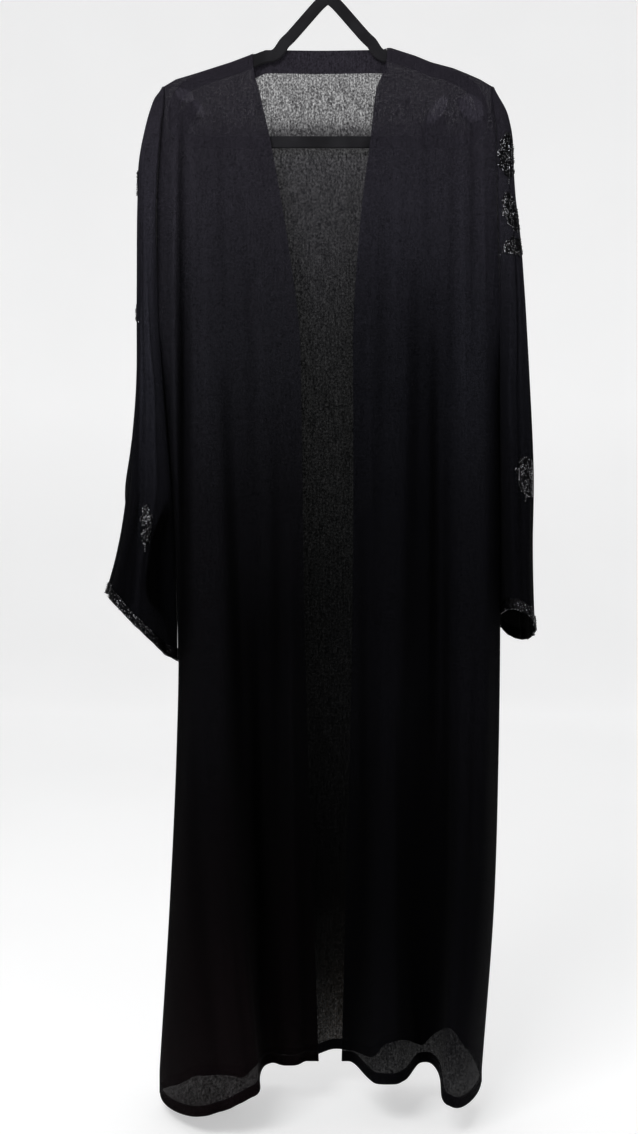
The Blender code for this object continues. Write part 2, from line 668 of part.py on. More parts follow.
def hanger_loop():
    """Hanger's outline with evenly spaced points and rounded corners.

    Averaging each point with its neighbours rounds the corners and leaves straight runs alone.
    """
    outline = hanger_outline()
    steps = np.linalg.norm(np.diff(outline, axis=0), axis=1)
    along = np.concatenate(([0.0], np.cumsum(steps)))
    count = int(along[-1] / HANGER_SPACING)
    targets = np.linspace(0.0, along[-1], count, endpoint=False)
    loop = np.stack([np.interp(targets, along, outline[:, axis]) for axis in (0, 1)], axis=1)
    for _pass in range(HANGER_SMOOTHING):
        loop = (np.roll(loop, 1, axis=0) + 2 * loop + np.roll(loop, -1, axis=0)) / 4
    x = loop[:, 0]
    chord = (shoulder_height(x - FACET_REACH) + shoulder_height(x + FACET_REACH)) / 2
    under_cloth = np.minimum(shoulder_height(x), chord) - WALL / 2 - HANGER_CLEAR
    covered = np.abs(x) > NECK_BEND_X
    loop[covered, 1] = np.minimum(loop[covered, 1], under_cloth[covered])
    return loop


def build_hanger(material):
    """Flat hanger: a band swept round the loop, with bevelled edges."""
    loop = hanger_loop()
    tangents = np.roll(loop, -1, axis=0) - np.roll(loop, 1, axis=0)
    tangents /= np.linalg.norm(tangents, axis=1, keepdims=True)
    inward = np.stack((tangents[:, 1], -tangents[:, 0]), axis=1)
    half = HANGER_THICK / 2
    edge = HANGER_EDGE
    section = (
        (0.0, -half + edge),
        (0.0, half - edge),
        (edge, half),
        (BAND - edge, half),
        (BAND, half - edge),
        (BAND, -half + edge),
        (BAND - edge, -half),
        (edge, -half),
    )
    rings = []
    for inset, y in section:
        moved = loop + inward * inset
        rings.append(np.stack((moved[:, 0], np.full(len(moved), y), moved[:, 1]), axis=1))
    vertices = np.stack(rings, axis=1).reshape(-1, 3)
    faces = ring_faces(vertices, len(loop), len(section), True)
    return add_mesh("hanger_body", vertices, faces, material)


def ring_faces(vertices, rings, sides, closed):
    """Triangles between rings of points, closed on themselves or capped, facing out."""
    faces = []
    for ring in range(rings if closed else rings - 1):
        following = (ring + 1) % rings
        for side in range(sides):
            beside = (side + 1) % sides
            a, b = ring * sides + side, ring * sides + beside
            c, d = following * sides + beside, following * sides + side
            faces += [(a, b, c), (a, c, d)]
    if not closed:
        last = (rings - 1) * sides
        for side in range(1, sides - 1):
            faces.append((0, side + 1, side))
            faces.append((last, last + side, last + side + 1))
    corners = vertices[np.array(faces)]
    if np.sum(corners[:, 0] * np.cross(corners[:, 1], corners[:, 2])) < 0:
        faces = [face[::-1] for face in faces]
    return faces


def build_hook(seat_z, material):
    """Round wire hook with a short ferrule that stands on the hanger's top."""
    centre_z = HOOK_WIRE - HOOK_RADIUS
    foot = seat_z + SEAM
    path = [(0.0, foot), (0.0, foot + 0.0005), (0.0, foot + FERRULE_HEIGHT - 0.0005)]
    radii = [FERRULE_RADIUS - 0.0005, FERRULE_RADIUS, FERRULE_RADIUS]
    path.append((0.0, foot + FERRULE_HEIGHT))
    radii.append(HOOK_WIRE)
    stem_top = centre_z - HOOK_RADIUS - 0.002
    path.append((0.0, (foot + FERRULE_HEIGHT + stem_top) / 2))
    radii.append(HOOK_WIRE)
    for step in range(HOOK_STEPS + 1):
        angle = math.radians(-78 + (HOOK_END_ANGLE + 78) * step / HOOK_STEPS)
        path.append((HOOK_RADIUS * math.cos(angle), centre_z + HOOK_RADIUS * math.sin(angle)))
        radii.append(HOOK_WIRE)
    path = np.array(path)
    tangents = np.gradient(path, axis=0)
    tangents[:4] = (0.0, 1.0)
    tangents /= np.linalg.norm(tangents, axis=1, keepdims=True)
    vertices = []
    for (x, z), (run_x, run_z), radius in zip(path, tangents, radii):
        for side in range(HOOK_SIDES):
            turn = 2 * math.pi * side / HOOK_SIDES
            across = radius * math.cos(turn)
            vertices.append((x + across * run_z, radius * math.sin(turn), z - across * run_x))
    vertices = np.array(vertices)
    faces = ring_faces(vertices, len(path), HOOK_SIDES, False)
    return add_mesh("hanger_hook", vertices, faces, material)


def build_garment(cloth, beads):
    """Back, fronts, sleeves, neck facing, cuff trims and appliques."""
    back = back_points()
    cloth_wall("back", back, -1, cloth, stays=1)
    facing_rows = UPPER_DROPS.index(FACING_HEIGHT) + 1
    inside = (back[0, :, 0] > NECK_X[RIGHT] + 0.010) & (back[0, :, 0] < NECK_X[LEFT] - 0.010)
    columns = np.flatnonzero(inside)
    facing = back[:facing_rows, columns[0]:columns[-1] + 1]
    cloth_wall("neck_facing", facing, -1, cloth, offset=-(WALL + SEAM))
    grids = {"back": back}
    for side in (RIGHT, LEFT):
        front = front_points(side)
        cloth_wall("front_" + SIDE_NAMES[side], front, side, cloth, stays=-1)
        sleeve = sleeve_grid(side)
        grids["sleeve_" + SIDE_NAMES[side]] = sleeve
        cloth_wall("sleeve_" + SIDE_NAMES[side], sleeve, side, cloth)
        lift = (WALL + TRIM_THICK) / 2 + SEAM
        trim = sleeve_trim_points(sleeve)
        cloth_wall("cuff_trim_" + SIDE_NAMES[side], trim, side, beads, TRIM_THICK, lift)
    for row in APPLIQUES:
        piece, z, place = row[1:4]
        grid = grids[piece]
        if piece == "back":
            applique(row, grid, -1, nearest_on_back(grid, z, place), beads)
        else:
            side = LEFT if piece == "sleeve_left" else RIGHT
            applique(row, grid, side, nearest_on_sleeve(grid, z, place), beads)


def sleeve_trim_points(sleeve):
    """The sleeve's last row of cells, which the cuff trim covers."""
    return sleeve[-2:]


def main():
    """Model the abaya and its hanger."""
    clear_scene()
    cloth = make_material("black_crepe", BLACK_CLOTH, 0.85)
    beads = make_material("black_beads", DARK_BEADS, 0.25)
    flock = make_material("black_flock", BLACK_FLOCK, 0.95)
    steel = make_material("hook_steel", STEEL, 0.25, 1.0)
    build_garment(cloth, beads)
    build_hanger(flock)
    build_hook(float(hanger_loop()[:, 1].max()), steel)


main()
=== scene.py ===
"""An open black abaya with beaded leaf appliques, hung on a slim flocked hanger.

Metres, +Z up, the front faces -Y and +X is the wearer's left. Each cloth panel is a function of two
shares, one across the cloth and one down it, worked out from the same height tables as the solid
part. Its grid is fine enough for the creases, and is closed into a thin wall.
"""

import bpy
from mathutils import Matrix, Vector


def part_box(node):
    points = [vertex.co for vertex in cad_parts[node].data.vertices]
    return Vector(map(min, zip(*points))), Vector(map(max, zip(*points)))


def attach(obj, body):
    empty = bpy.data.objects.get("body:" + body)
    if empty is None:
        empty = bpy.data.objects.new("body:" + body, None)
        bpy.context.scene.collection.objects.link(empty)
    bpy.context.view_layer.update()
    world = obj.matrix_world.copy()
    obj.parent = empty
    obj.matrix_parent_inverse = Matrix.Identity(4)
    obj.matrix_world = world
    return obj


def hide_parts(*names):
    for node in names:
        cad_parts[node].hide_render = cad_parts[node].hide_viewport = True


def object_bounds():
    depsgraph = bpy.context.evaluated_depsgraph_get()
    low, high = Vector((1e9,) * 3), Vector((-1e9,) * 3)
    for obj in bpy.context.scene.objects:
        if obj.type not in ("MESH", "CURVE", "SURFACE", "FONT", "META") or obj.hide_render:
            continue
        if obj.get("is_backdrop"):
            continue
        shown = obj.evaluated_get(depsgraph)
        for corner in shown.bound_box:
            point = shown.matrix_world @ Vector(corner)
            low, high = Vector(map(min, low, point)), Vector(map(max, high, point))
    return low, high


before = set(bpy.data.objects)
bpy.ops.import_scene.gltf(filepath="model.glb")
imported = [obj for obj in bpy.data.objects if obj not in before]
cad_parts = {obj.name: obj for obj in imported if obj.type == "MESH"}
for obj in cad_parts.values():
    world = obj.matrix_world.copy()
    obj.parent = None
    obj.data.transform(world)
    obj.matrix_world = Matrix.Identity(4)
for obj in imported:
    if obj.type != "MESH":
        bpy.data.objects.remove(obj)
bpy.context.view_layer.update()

import math

import bpy
import numpy as np
from bpy.props import FloatProperty, FloatVectorProperty, IntProperty, PointerProperty

bl_info = {
    "name": "Abaya on a hanger",
    "version": (1, 0, 0),
    "blender": (4, 5, 0),
    "location": "3D View > Sidebar > Abaya",
    "description": "Open abaya with beaded leaf appliques, hung on a flocked hanger",
    "category": "Add Mesh",
}

# Sides of the body: -1 is the wearer's right at -X, +1 the wearer's left at +X
RIGHT, LEFT = -1, 1
SIDE_NAMES = {RIGHT: "right", LEFT: "left"}

# Levels and widths that several pieces share
SEAM = 0.0003
TIP_X = 0.224
TIP_Z = -0.183
UNDERARM_Z = -0.600
HEM_Z = -1.514
HEM_FOLLOWS_FOLD = 0.08
HEM_SIDE_DROP = {RIGHT: 0.045, LEFT: 0.028}
HEM_SIDE_START = 0.110
CORNER_RADIUS = 0.026
CORNER_SHARE = 0.22
ARM_ROUND = 0.0040
NECK_BACK_Y = 0.0064
NECK_FREE = 0.006
NECK_DIP = 0.0010
LINE_DROP = 0.060
SETTLE_DROP = 0.120
TURN_DROP = 0.080
UPPER_DROP = 0.080
CUFF_TRIM_HEIGHT = 0.015
FACING_SIDE = 0.001
NET = 0.0004
NET_GAP = 0.0002
TUBE_END = 0.02  # radius of a tube's drawn-in end, as a share of the tube's
BEAD_RAISED = 0.36  # height of a bead's middle over the net, as a share of its diameter

# Tones: light and shade painted on the cloth as the photo shows them, for its material to read
EVEN_TONE = 0.5  # cloth that neither stands out nor lies back
SEAM_TONE = 0.1
# Painted shade: the inner layer of each sleeve is painted black
INSIDE_TONE = -0.5  # inside of a sleeve, which shows black in the cuff
# Painted light and shade of the folds: darker in valleys and crease troughs, lighter on crests and
# ridges
TONE_RELIEF = 0.004  # relief under which a row of cloth counts as flat
TONE_START = -0.36
TONE_SPAN = 0.26
CREASE_TONE = 0.40  # change of tone on a crease as deep as the relief below
CREASE_RELIEF = 0.0036
SLEEVE_CREASE_SHARE = 0.8
# Painted shade on the wearer's left sleeve, darker downwards from SLEEVE_DARK_START
SLEEVE_DARK = 0.12
SLEEVE_DARK_START = -0.34
SLEEVE_DARK_SPAN = 0.20

# Light painted on the wearer's right sleeve: how lit its face is, and its outer and inner lines
LIGHT_COLUMNS = ("z", "lit", "face", "hollow")
RIGHT_SLEEVE_LIGHT = (
    (-0.200, 0.1, 0.262, 0.2200),
    (-0.300, 0.2, 0.256, 0.2200),
    (-0.420, 0.4, 0.254, 0.2200),
    (-0.560, 1.1, 0.254, 0.2200),
    (-0.700, 1.0, 0.254, 0.2200),
    (-0.763, 0.8, 0.254, 0.2250),
    (-0.800, 0.7, 0.255, 0.2380),
    (-0.826, 0.5, 0.256, 0.2420),
    (-0.888, 0.3, 0.262, 0.2410),
    (-0.908, 0.2, 0.270, 0.2280),
    (-0.970, 0.2, 0.280, 0.2200),
)
LIGHT_EDGE = 0.004
LIGHT_FADE = 0.030
HOLLOW_START = -0.745
HOLLOW_TONE = -0.5
BESIDE_FACE = 0.2  # how much darker the sleeve is beside its lit face

# Faint painted light on the fronts' shoulders, for the appliques behind them: x, z, length, width, turn
SHOULDER_GLOW = {
    RIGHT: ((-0.196, -0.196, 0.030, 0.018, 62.0), (-0.176, -0.214, 0.030, 0.010, 30.0)),
    LEFT: ((0.150, -0.216, 0.048, 0.020, -34.0), (0.196, -0.214, 0.044, 0.034, 30.0)),
}
GLOW_TONE = 0.85
GLOW_EDGE = 0.4
GLOW_MEAN = 0.7
GLOW_SWING = 0.6
SPECKS_ACROSS, SPECKS_DOWN, SPECKS_LEAN = 2900, 2300, 900  # radians a metre

# Level of the back's hem, which hangs lower on the wearer's right
BACK_HEM_COLUMNS = ("x", "z")
BACK_HEM = (
    (-0.230, -1.561),
    (-0.150, -1.562),
    (-0.090, -1.540),
    (0.000, -1.518),
    (0.080, -1.523),
    (0.136, -1.509),
    (0.185, -1.502),
    (0.212, -1.546),
)

# Shoulder line, straight between its points, each x and height
SHOULDER = (
    (-0.224, -0.1830),
    (-0.208, -0.1735),
    (-0.181, -0.1654),
    (-0.133, -0.1500),
    (-0.108, -0.1406),
    (-0.086, -0.1304),
    (0.086, -0.1304),
    (0.119, -0.1410),
    (0.141, -0.1500),
    (0.171, -0.1580),
    (0.190, -0.1656),
    (0.208, -0.1735),
    (0.224, -0.1830),
)
NECK_X = {RIGHT: -0.103, LEFT: 0.081}

# Half widths from the middle plane: side of the body and front opening edge
BODY_COLUMNS = ("z", "side", "edge")
BODY = {
    RIGHT: (
        (-0.130, 0.224, 0.103),
        (-0.183, 0.224, 0.095),
        (-0.257, 0.229, 0.079),
        (-0.340, 0.233, 0.064),
        (-0.430, 0.232, 0.050),
        (-0.518, 0.229, 0.039),
        (-0.620, 0.222, 0.036),
        (-0.760, 0.211, 0.034),
        (-0.963, 0.204, 0.031),
        (-1.100, 0.207, 0.027),
        (-1.300, 0.216, 0.020),
        (-1.530, 0.230, 0.012),
    ),
    LEFT: (
        (-0.130, 0.224, 0.081),
        (-0.183, 0.224, 0.067),
        (-0.257, 0.230, 0.058),
        (-0.340, 0.230, 0.047),
        (-0.430, 0.232, 0.039),
        (-0.518, 0.233, 0.034),
        (-0.620, 0.234, 0.034),
        (-0.760, 0.235, 0.034),
        (-0.963, 0.235, 0.032),
        (-1.100, 0.233, 0.029),
        (-1.300, 0.227, 0.024),
        (-1.530, 0.210, 0.018),
    ),
}

# Depth of the panels beyond the bend over the hanger, before folds
DEPTH_COLUMNS = ("z", "front", "back")
DEPTH = (
    (-0.130, 0.0000, 0.0000),
    (-0.257, 0.0035, 0.0040),
    (-0.340, 0.0070, 0.0090),
    (-0.460, 0.0120, 0.0150),
    (-0.600, 0.0170, 0.0210),
    (-0.760, 0.0210, 0.0260),
    (-0.963, 0.0230, 0.0290),
    (-1.200, 0.0180, 0.0300),
    (-1.530, 0.0060, 0.0260),
)

# Large folds: height, x of the crest, half width, depth, lean of the crest along x
FOLD_COLUMNS = ("z", "x", "half_width", "depth", "lean")
FRONT_FOLDS = {
    RIGHT: (
        (
            (-0.300, -0.168, 0.030, 0.000, 0.000),
            (-0.700, -0.163, 0.034, 0.007, 0.000),
            (-0.880, -0.160, 0.038, 0.015, 0.000),
            (-1.020, -0.159, 0.044, 0.025, 0.002),
            (-1.250, -0.158, 0.064, 0.054, 0.018),
            (-1.530, -0.165, 0.100, 0.100, 0.048),
        ),
        (
            (-0.210, -0.190, 0.012, 0.0000, 0.000),
            (-0.300, -0.193, 0.014, -0.0035, 0.000),
            (-0.600, -0.194, 0.016, -0.0080, 0.000),
            (-0.850, -0.191, 0.013, -0.0050, 0.000),
            (-1.020, -0.188, 0.010, 0.0000, 0.000),
        ),
        (
            (-0.900, -0.060, 0.026, 0.000, 0.000),
            (-1.250, -0.058, 0.026, 0.006, 0.000),
            (-1.530, -0.052, 0.026, 0.014, 0.000),
        ),
    ),
    LEFT: (
        (
            (-0.260, 0.196, 0.034, 0.000, 0.000),
            (-0.600, 0.196, 0.038, 0.010, 0.000),
            (-1.020, 0.194, 0.040, 0.024, 0.000),
            (-1.300, 0.192, 0.044, 0.058, -0.010),
            (-1.530, 0.187, 0.052, 0.100, -0.026),
        ),
        (
            (-0.500, 0.088, 0.026, 0.000, 0.000),
            (-0.800, 0.086, 0.026, 0.005, 0.000),
            (-1.020, 0.084, 0.027, 0.011, 0.000),
            (-1.300, 0.079, 0.034, 0.034, 0.000),
            (-1.530, 0.078, 0.052, 0.070, 0.000),
        ),
        (
            (-0.400, 0.135, 0.022, 0.000, 0.000),
            (-0.800, 0.136, 0.024, -0.004, 0.000),
            (-1.100, 0.132, 0.022, -0.006, 0.000),
            (-1.530, 0.122, 0.018, 0.000, 0.000),
        ),
    ),
}
BACK_FOLDS = (
    (
        (-0.350, -0.160, 0.034, 0.000, 0.000),
        (-0.900, -0.158, 0.040, 0.018, 0.000),
        (-1.530, -0.165, 0.050, 0.048, -0.008),
    ),
    (
        (-0.500, -0.075, 0.032, 0.000, 0.000),
        (-1.000, -0.078, 0.036, 0.012, 0.000),
        (-1.530, -0.082, 0.040, 0.046, 0.006),
    ),
    (
        (-0.700, 0.018, 0.030, 0.000, 0.000),
        (-1.530, 0.022, 0.038, 0.018, 0.000),
    ),
    (
        (-0.420, 0.098, 0.032, 0.000, 0.000),
        (-1.000, 0.100, 0.036, 0.016, 0.000),
        (-1.530, 0.098, 0.040, 0.058, -0.005),
    ),
    (
        (-0.350, 0.170, 0.032, 0.000, 0.000),
        (-0.900, 0.168, 0.036, 0.014, 0.000),
        (-1.530, 0.160, 0.036, 0.052, 0.004),
    ),
)

# Creases, each from a top to a bottom point with its half width and depth; a trough is negative
FRONT_CREASES = {
    RIGHT: (
        (-0.1990, -0.200, -0.2000, -1.000, 0.0065, -0.0042),
        (-0.2090, -0.195, -0.2080, -0.820, 0.0080, 0.0034),
        (-0.1860, -0.240, -0.1830, -0.900, 0.0080, 0.0026),
        (-0.1400, -0.560, -0.1180, -1.150, 0.0120, -0.0046),
        (-0.1680, -0.330, -0.1640, -0.760, 0.0120, 0.0016),
        (-0.1500, -0.220, -0.1380, -0.520, 0.0090, -0.0011),
        (-0.1250, -0.190, -0.1040, -0.420, 0.0110, 0.0010),
        (-0.1140, -0.300, -0.0980, -0.760, 0.0100, -0.0014),
        (-0.0900, -0.420, -0.0840, -0.900, 0.0120, 0.0015),
        (-0.0700, -0.620, -0.0720, -1.240, 0.0100, -0.0024),
        (-0.0520, -0.760, -0.0480, -1.360, 0.0080, 0.0020),
        (-0.1020, -0.900, -0.0860, -1.750, 0.0130, -0.0050),
        (-0.1820, -1.060, -0.1940, -1.800, 0.0110, -0.0034),
        (-0.1430, -1.100, -0.1500, -1.760, 0.0120, -0.0030),
        (-0.1680, -1.180, -0.1760, -1.740, 0.0080, 0.0018),
        (-0.0360, -1.160, -0.0300, -1.740, 0.0080, -0.0018),
    ),
    LEFT: (
        (0.1700, -0.250, 0.1660, -0.640, 0.0070, -0.0016),
        (0.1980, -0.215, 0.1960, -0.560, 0.0060, -0.0019),
        (0.2110, -0.205, 0.2120, -0.500, 0.0060, 0.0015),
        (0.1840, -0.230, 0.1820, -0.700, 0.0070, 0.0015),
        (0.1180, -0.420, 0.1120, -1.020, 0.0130, -0.0036),
        (0.1440, -0.520, 0.1420, -1.120, 0.0090, -0.0032),
        (0.1610, -0.640, 0.1580, -1.400, 0.0080, -0.0030),
        (0.0960, -0.230, 0.0900, -0.600, 0.0100, 0.0011),
        (0.0740, -0.330, 0.0690, -0.820, 0.0100, -0.0014),
        (0.0560, -0.480, 0.0560, -1.000, 0.0080, 0.0014),
        (0.0470, -0.760, 0.0500, -1.340, 0.0090, -0.0024),
        (0.1300, -0.200, 0.1380, -0.430, 0.0090, -0.0010),
        (0.0950, -1.020, 0.0980, -1.720, 0.0080, -0.0026),
        (0.0640, -1.100, 0.0600, -1.740, 0.0080, 0.0020),
        (0.1950, -0.900, 0.1890, -1.500, 0.0070, -0.0022),
        (0.1780, -1.060, 0.1740, -1.760, 0.0070, 0.0022),
    ),
}
BACK_CREASES = (
    (-0.2060, -0.200, -0.2080, -0.900, 0.0080, -0.0036),
    (-0.1940, -0.230, -0.1920, -0.760, 0.0070, 0.0024),
    (-0.1420, -0.210, -0.1240, -0.560, 0.0110, 0.0013),
    (-0.1120, -0.200, -0.1040, -0.700, 0.0120, -0.0016),
    (-0.1180, -0.620, -0.1180, -1.760, 0.0110, -0.0046),
    (-0.0860, -0.380, -0.0700, -1.000, 0.0100, 0.0016),
    (-0.0500, -0.460, -0.0360, -1.300, 0.0120, -0.0030),
    (-0.0200, -0.330, -0.0120, -0.980, 0.0140, 0.0018),
    (-0.0150, -1.000, -0.0200, -1.760, 0.0090, -0.0030),
    (0.0280, -0.300, 0.0240, -0.860, 0.0110, -0.0014),
    (0.0560, -0.560, 0.0600, -1.740, 0.0120, -0.0040),
    (0.0840, -0.240, 0.0800, -0.640, 0.0100, 0.0012),
    (0.1180, -0.210, 0.1260, -0.600, 0.0110, -0.0016),
    (0.1360, -0.640, 0.1320, -1.760, 0.0100, -0.0044),
    (0.1560, -0.260, 0.1600, -0.820, 0.0090, 0.0018),
    (0.1900, -0.210, 0.1920, -0.700, 0.0080, -0.0026),
    (0.2040, -0.240, 0.2050, -1.000, 0.0070, 0.0022),
    (-0.1780, -0.980, -0.1820, -1.760, 0.0080, 0.0024),
    (0.1780, -1.040, 0.1740, -1.760, 0.0080, -0.0026),
)
# On a sleeve the place runs from -1 at its front edge over 0 at the outer side to 1 at the back
SLEEVE_CREASES = {
    RIGHT: (
        (-0.34, -0.220, -0.30, -0.760, 0.060, 0.0026),
        (-0.52, -0.260, -0.44, -0.900, 0.070, -0.0036),
        (-0.12, -0.240, -0.16, -0.900, 0.060, -0.0022),
        (-0.68, -0.420, -0.60, -1.100, 0.060, 0.0034),
        (0.10, -0.230, 0.14, -1.000, 0.070, 0.0028),
        (0.34, -0.260, 0.30, -0.860, 0.060, -0.0034),
        (0.52, -0.300, 0.56, -1.100, 0.060, 0.0032),
        (0.74, -0.460, 0.70, -1.000, 0.060, -0.0030),
        (-0.24, -0.620, -0.20, -1.200, 0.050, -0.0034),
        (0.00, -0.660, 0.02, -1.200, 0.050, 0.0036),
        (0.22, -0.600, 0.20, -1.200, 0.050, -0.0034),
    ),
    LEFT: (
        (-0.30, -0.230, -0.34, -0.820, 0.060, 0.0026),
        (-0.50, -0.250, -0.56, -0.900, 0.060, -0.0034),
        (-0.10, -0.260, -0.06, -0.980, 0.060, -0.0026),
        (-0.72, -0.440, -0.66, -1.100, 0.060, 0.0030),
        (0.14, -0.240, 0.10, -0.900, 0.070, 0.0026),
        (0.38, -0.240, 0.42, -1.000, 0.060, -0.0034),
        (0.60, -0.320, 0.56, -0.900, 0.060, 0.0030),
        (0.80, -0.500, 0.76, -1.100, 0.050, -0.0026),
        (-0.22, -0.560, -0.24, -1.200, 0.050, -0.0030),
        (0.02, -0.640, 0.00, -1.200, 0.050, 0.0034),
        (0.26, -0.620, 0.24, -1.200, 0.050, -0.0032),
    ),
}

# Sleeves: outline's half width, half depth, and how far the front half is shifted out past the back
SLEEVE_COLUMNS = ("z", "outer", "half_depth", "turn")
SLEEVE_TABLE = {
    RIGHT: (
        (-0.183, 0.2268, 0.0040, 0.000),
        (-0.189, 0.2300, 0.0045, 0.000),
        (-0.197, 0.2362, 0.0055, 0.000),
        (-0.214, 0.2432, 0.0075, 0.000),
        (-0.238, 0.2500, 0.0105, 0.000),
        (-0.285, 0.2580, 0.0160, 0.000),
        (-0.340, 0.2595, 0.0220, 0.000),
        (-0.463, 0.2605, 0.0340, 0.000),
        (-0.614, 0.2640, 0.0450, 0.000),
        (-0.682, 0.2700, 0.0490, 0.000),
        (-0.740, 0.2760, 0.0530, 0.000),
        (-0.770, 0.2800, 0.0545, 0.006),
        (-0.826, 0.2905, 0.0570, 0.021),
        (-0.890, 0.3080, 0.0600, 0.023),
        (-0.935, 0.3170, 0.0610, 0.016),
        (-0.970, 0.3210, 0.0620, 0.012),
    ),
    LEFT: (
        (-0.183, 0.2268, 0.0040, 0.000),
        (-0.189, 0.2295, 0.0045, 0.000),
        (-0.197, 0.2340, 0.0055, 0.000),
        (-0.214, 0.2435, 0.0075, 0.000),
        (-0.238, 0.2500, 0.0105, 0.000),
        (-0.292, 0.2530, 0.0170, 0.000),
        (-0.340, 0.2565, 0.0220, 0.000),
        (-0.374, 0.2610, 0.0260, 0.000),
        (-0.456, 0.2680, 0.0330, 0.000),
        (-0.600, 0.2760, 0.0440, 0.000),
        (-0.700, 0.2800, 0.0500, 0.000),
        (-0.826, 0.2795, 0.0560, 0.002),
        (-0.900, 0.2815, 0.0590, 0.004),
        (-0.970, 0.2860, 0.0600, 0.004),
    ),
}
TURN_DEPTH = 0.35
SLEEVE_STEP = 0.0009
SLEEVE_TOP_STEP = 0.0007
SLEEVE_TOP_DROP = 0.0006
SLEEVE_WAVES = 5
SLEEVE_WAVE_SHARE = 0.055
# Cuff edge: mean height, rise at the outer side over the inner, rise at the front over the back
CUFF = {RIGHT: (-0.924, 0.044, 0.018), LEFT: (-0.920, -0.014, 0.018)}

# Appliques: node, panel they lie on, length, width, turn, number of lobes a side
LEAVES = (
    ("leaf_left_1", "sleeve_left", 0.066, 0.034, 3.0, 4),
    ("leaf_left_2", "sleeve_left", 0.054, 0.036, -14.0, 3),
    ("leaf_left_3", "sleeve_left", 0.042, 0.026, 66.0, 3),
    ("leaf_left_4", "sleeve_left", 0.056, 0.040, 8.0, 3),
    ("leaf_left_5", "sleeve_left", 0.054, 0.034, -12.0, 3),
    ("leaf_right_1", "sleeve_right", 0.046, 0.022, 64.0, 4),
    ("leaf_right_2", "sleeve_right", 0.048, 0.028, 12.0, 3),
    ("leaf_right_3", "sleeve_right", 0.050, 0.026, -10.0, 4),
    ("leaf_right_4", "sleeve_right", 0.054, 0.036, 14.0, 3),
    ("leaf_shoulder_left_1", "back", 0.052, 0.032, 35.0, 3),
    ("leaf_shoulder_left_2", "back", 0.046, 0.030, -30.0, 3),
    ("leaf_shoulder_right", "back", 0.046, 0.030, 25.0, 3),
)

# Hanger and hook
BAND = 0.016
HANGER_THICK = 0.005
HANGER_EDGE = 0.0016
HANGER_UNDER_CLOTH = 0.0015
HANGER_ARM_X = (0.100, 0.125, 0.150, 0.175, 0.200)
HANGER_END_X = 0.2205
HANGER_END_Z = -0.200
BAR_BOTTOM_Z = -0.267
BAR_CORNER = 0.020
APEX_Z = -0.044
NECK_BEND_X = 0.0738
NECK_BEND_Z = -0.1290
HANGER_SPACING = 0.0125
HANGER_SMOOTHING = 4
FACET_REACH = 0.007
HOOK_WIRE = 0.0019
HOOK_RADIUS = 0.019
HOOK_START_ANGLE = -78.0
HOOK_END_ANGLE = 205.0
FERRULE_RADIUS = 0.0045
FERRULE_HEIGHT = 0.010


class AbayaCloth(bpy.types.PropertyGroup):
    """Sizes of the cloth, its hems and its stitches."""

    wall: FloatProperty(
        name="Cloth thickness",
        description="Thickness of each cloth wall",
        default=0.0006, min=0.0002, max=0.0012, unit="LENGTH",
    )
    hem: FloatProperty(
        name="Hem height",
        description="Height of the turned hem at the body's lower edge",
        default=0.014, min=0.004, max=0.05, unit="LENGTH",
    )
    facing: FloatProperty(
        name="Neck facing",
        description="Height of the opaque facing inside the back neck",
        default=0.030, min=0.01, max=0.06, unit="LENGTH",
    )
    stitch: FloatProperty(
        name="Stitch length",
        description="Length of one stitch along the hems",
        default=0.0026, min=0.001, max=0.006, unit="LENGTH",
    )
    stitch_pitch: FloatProperty(
        name="Stitch pitch",
        description="Distance from one stitch to the next",
        default=0.0036, min=0.0015, max=0.01, unit="LENGTH",
    )
    seam_radius: FloatProperty(
        name="Seam radius",
        description="Radius of the raised seams between the panels",
        default=0.0009, min=0.0004, max=0.002, unit="LENGTH",
    )


class AbayaBeads(bpy.types.PropertyGroup):
    """Sizes of the beads and how they are spread."""

    bead: FloatProperty(
        name="Bead",
        description="Diameter of a seed bead",
        default=0.0018, min=0.001, max=0.006, unit="LENGTH",
    )
    spacing: FloatProperty(
        name="Spacing",
        description="Distance between neighbouring beads",
        default=0.0022, min=0.0015, max=0.01, unit="LENGTH",
    )
    seed: IntProperty(
        name="Seed",
        description="Start value for the beads' small differences",
        default=7, min=0,
    )


class AbayaColours(bpy.types.PropertyGroup):
    """Colours of the finishes."""

    cloth: FloatVectorProperty(
        name="Cloth",
        description="Colour of the crepe",
        default=(0.0125, 0.0119, 0.0134), min=0.0, max=1.0, size=3, subtype="COLOR",
    )
    bright_beads: FloatVectorProperty(
        name="Bright beads",
        description="Colour of the silver-lined beads among the black ones",
        default=(0.46, 0.46, 0.49), min=0.0, max=1.0, size=3, subtype="COLOR",
    )
    dark_beads: FloatVectorProperty(
        name="Dark beads",
        description="Colour of the black beads",
        default=(0.012, 0.012, 0.014), min=0.0, max=1.0, size=3, subtype="COLOR",
    )
    flock: FloatVectorProperty(
        name="Flock",
        description="Colour of the hanger's flock",
        default=(0.0095, 0.0093, 0.0105), min=0.0, max=1.0, size=3, subtype="COLOR",
    )
    steel: FloatVectorProperty(
        name="Steel",
        description="Colour of the hook's plating",
        default=(0.60, 0.60, 0.62), min=0.0, max=1.0, size=3, subtype="COLOR",
    )
    stage: FloatVectorProperty(
        name="Stage",
        description="Colour of the floor and backdrop",
        default=(0.76, 0.76, 0.762), min=0.0, max=1.0, size=3, subtype="COLOR",
    )


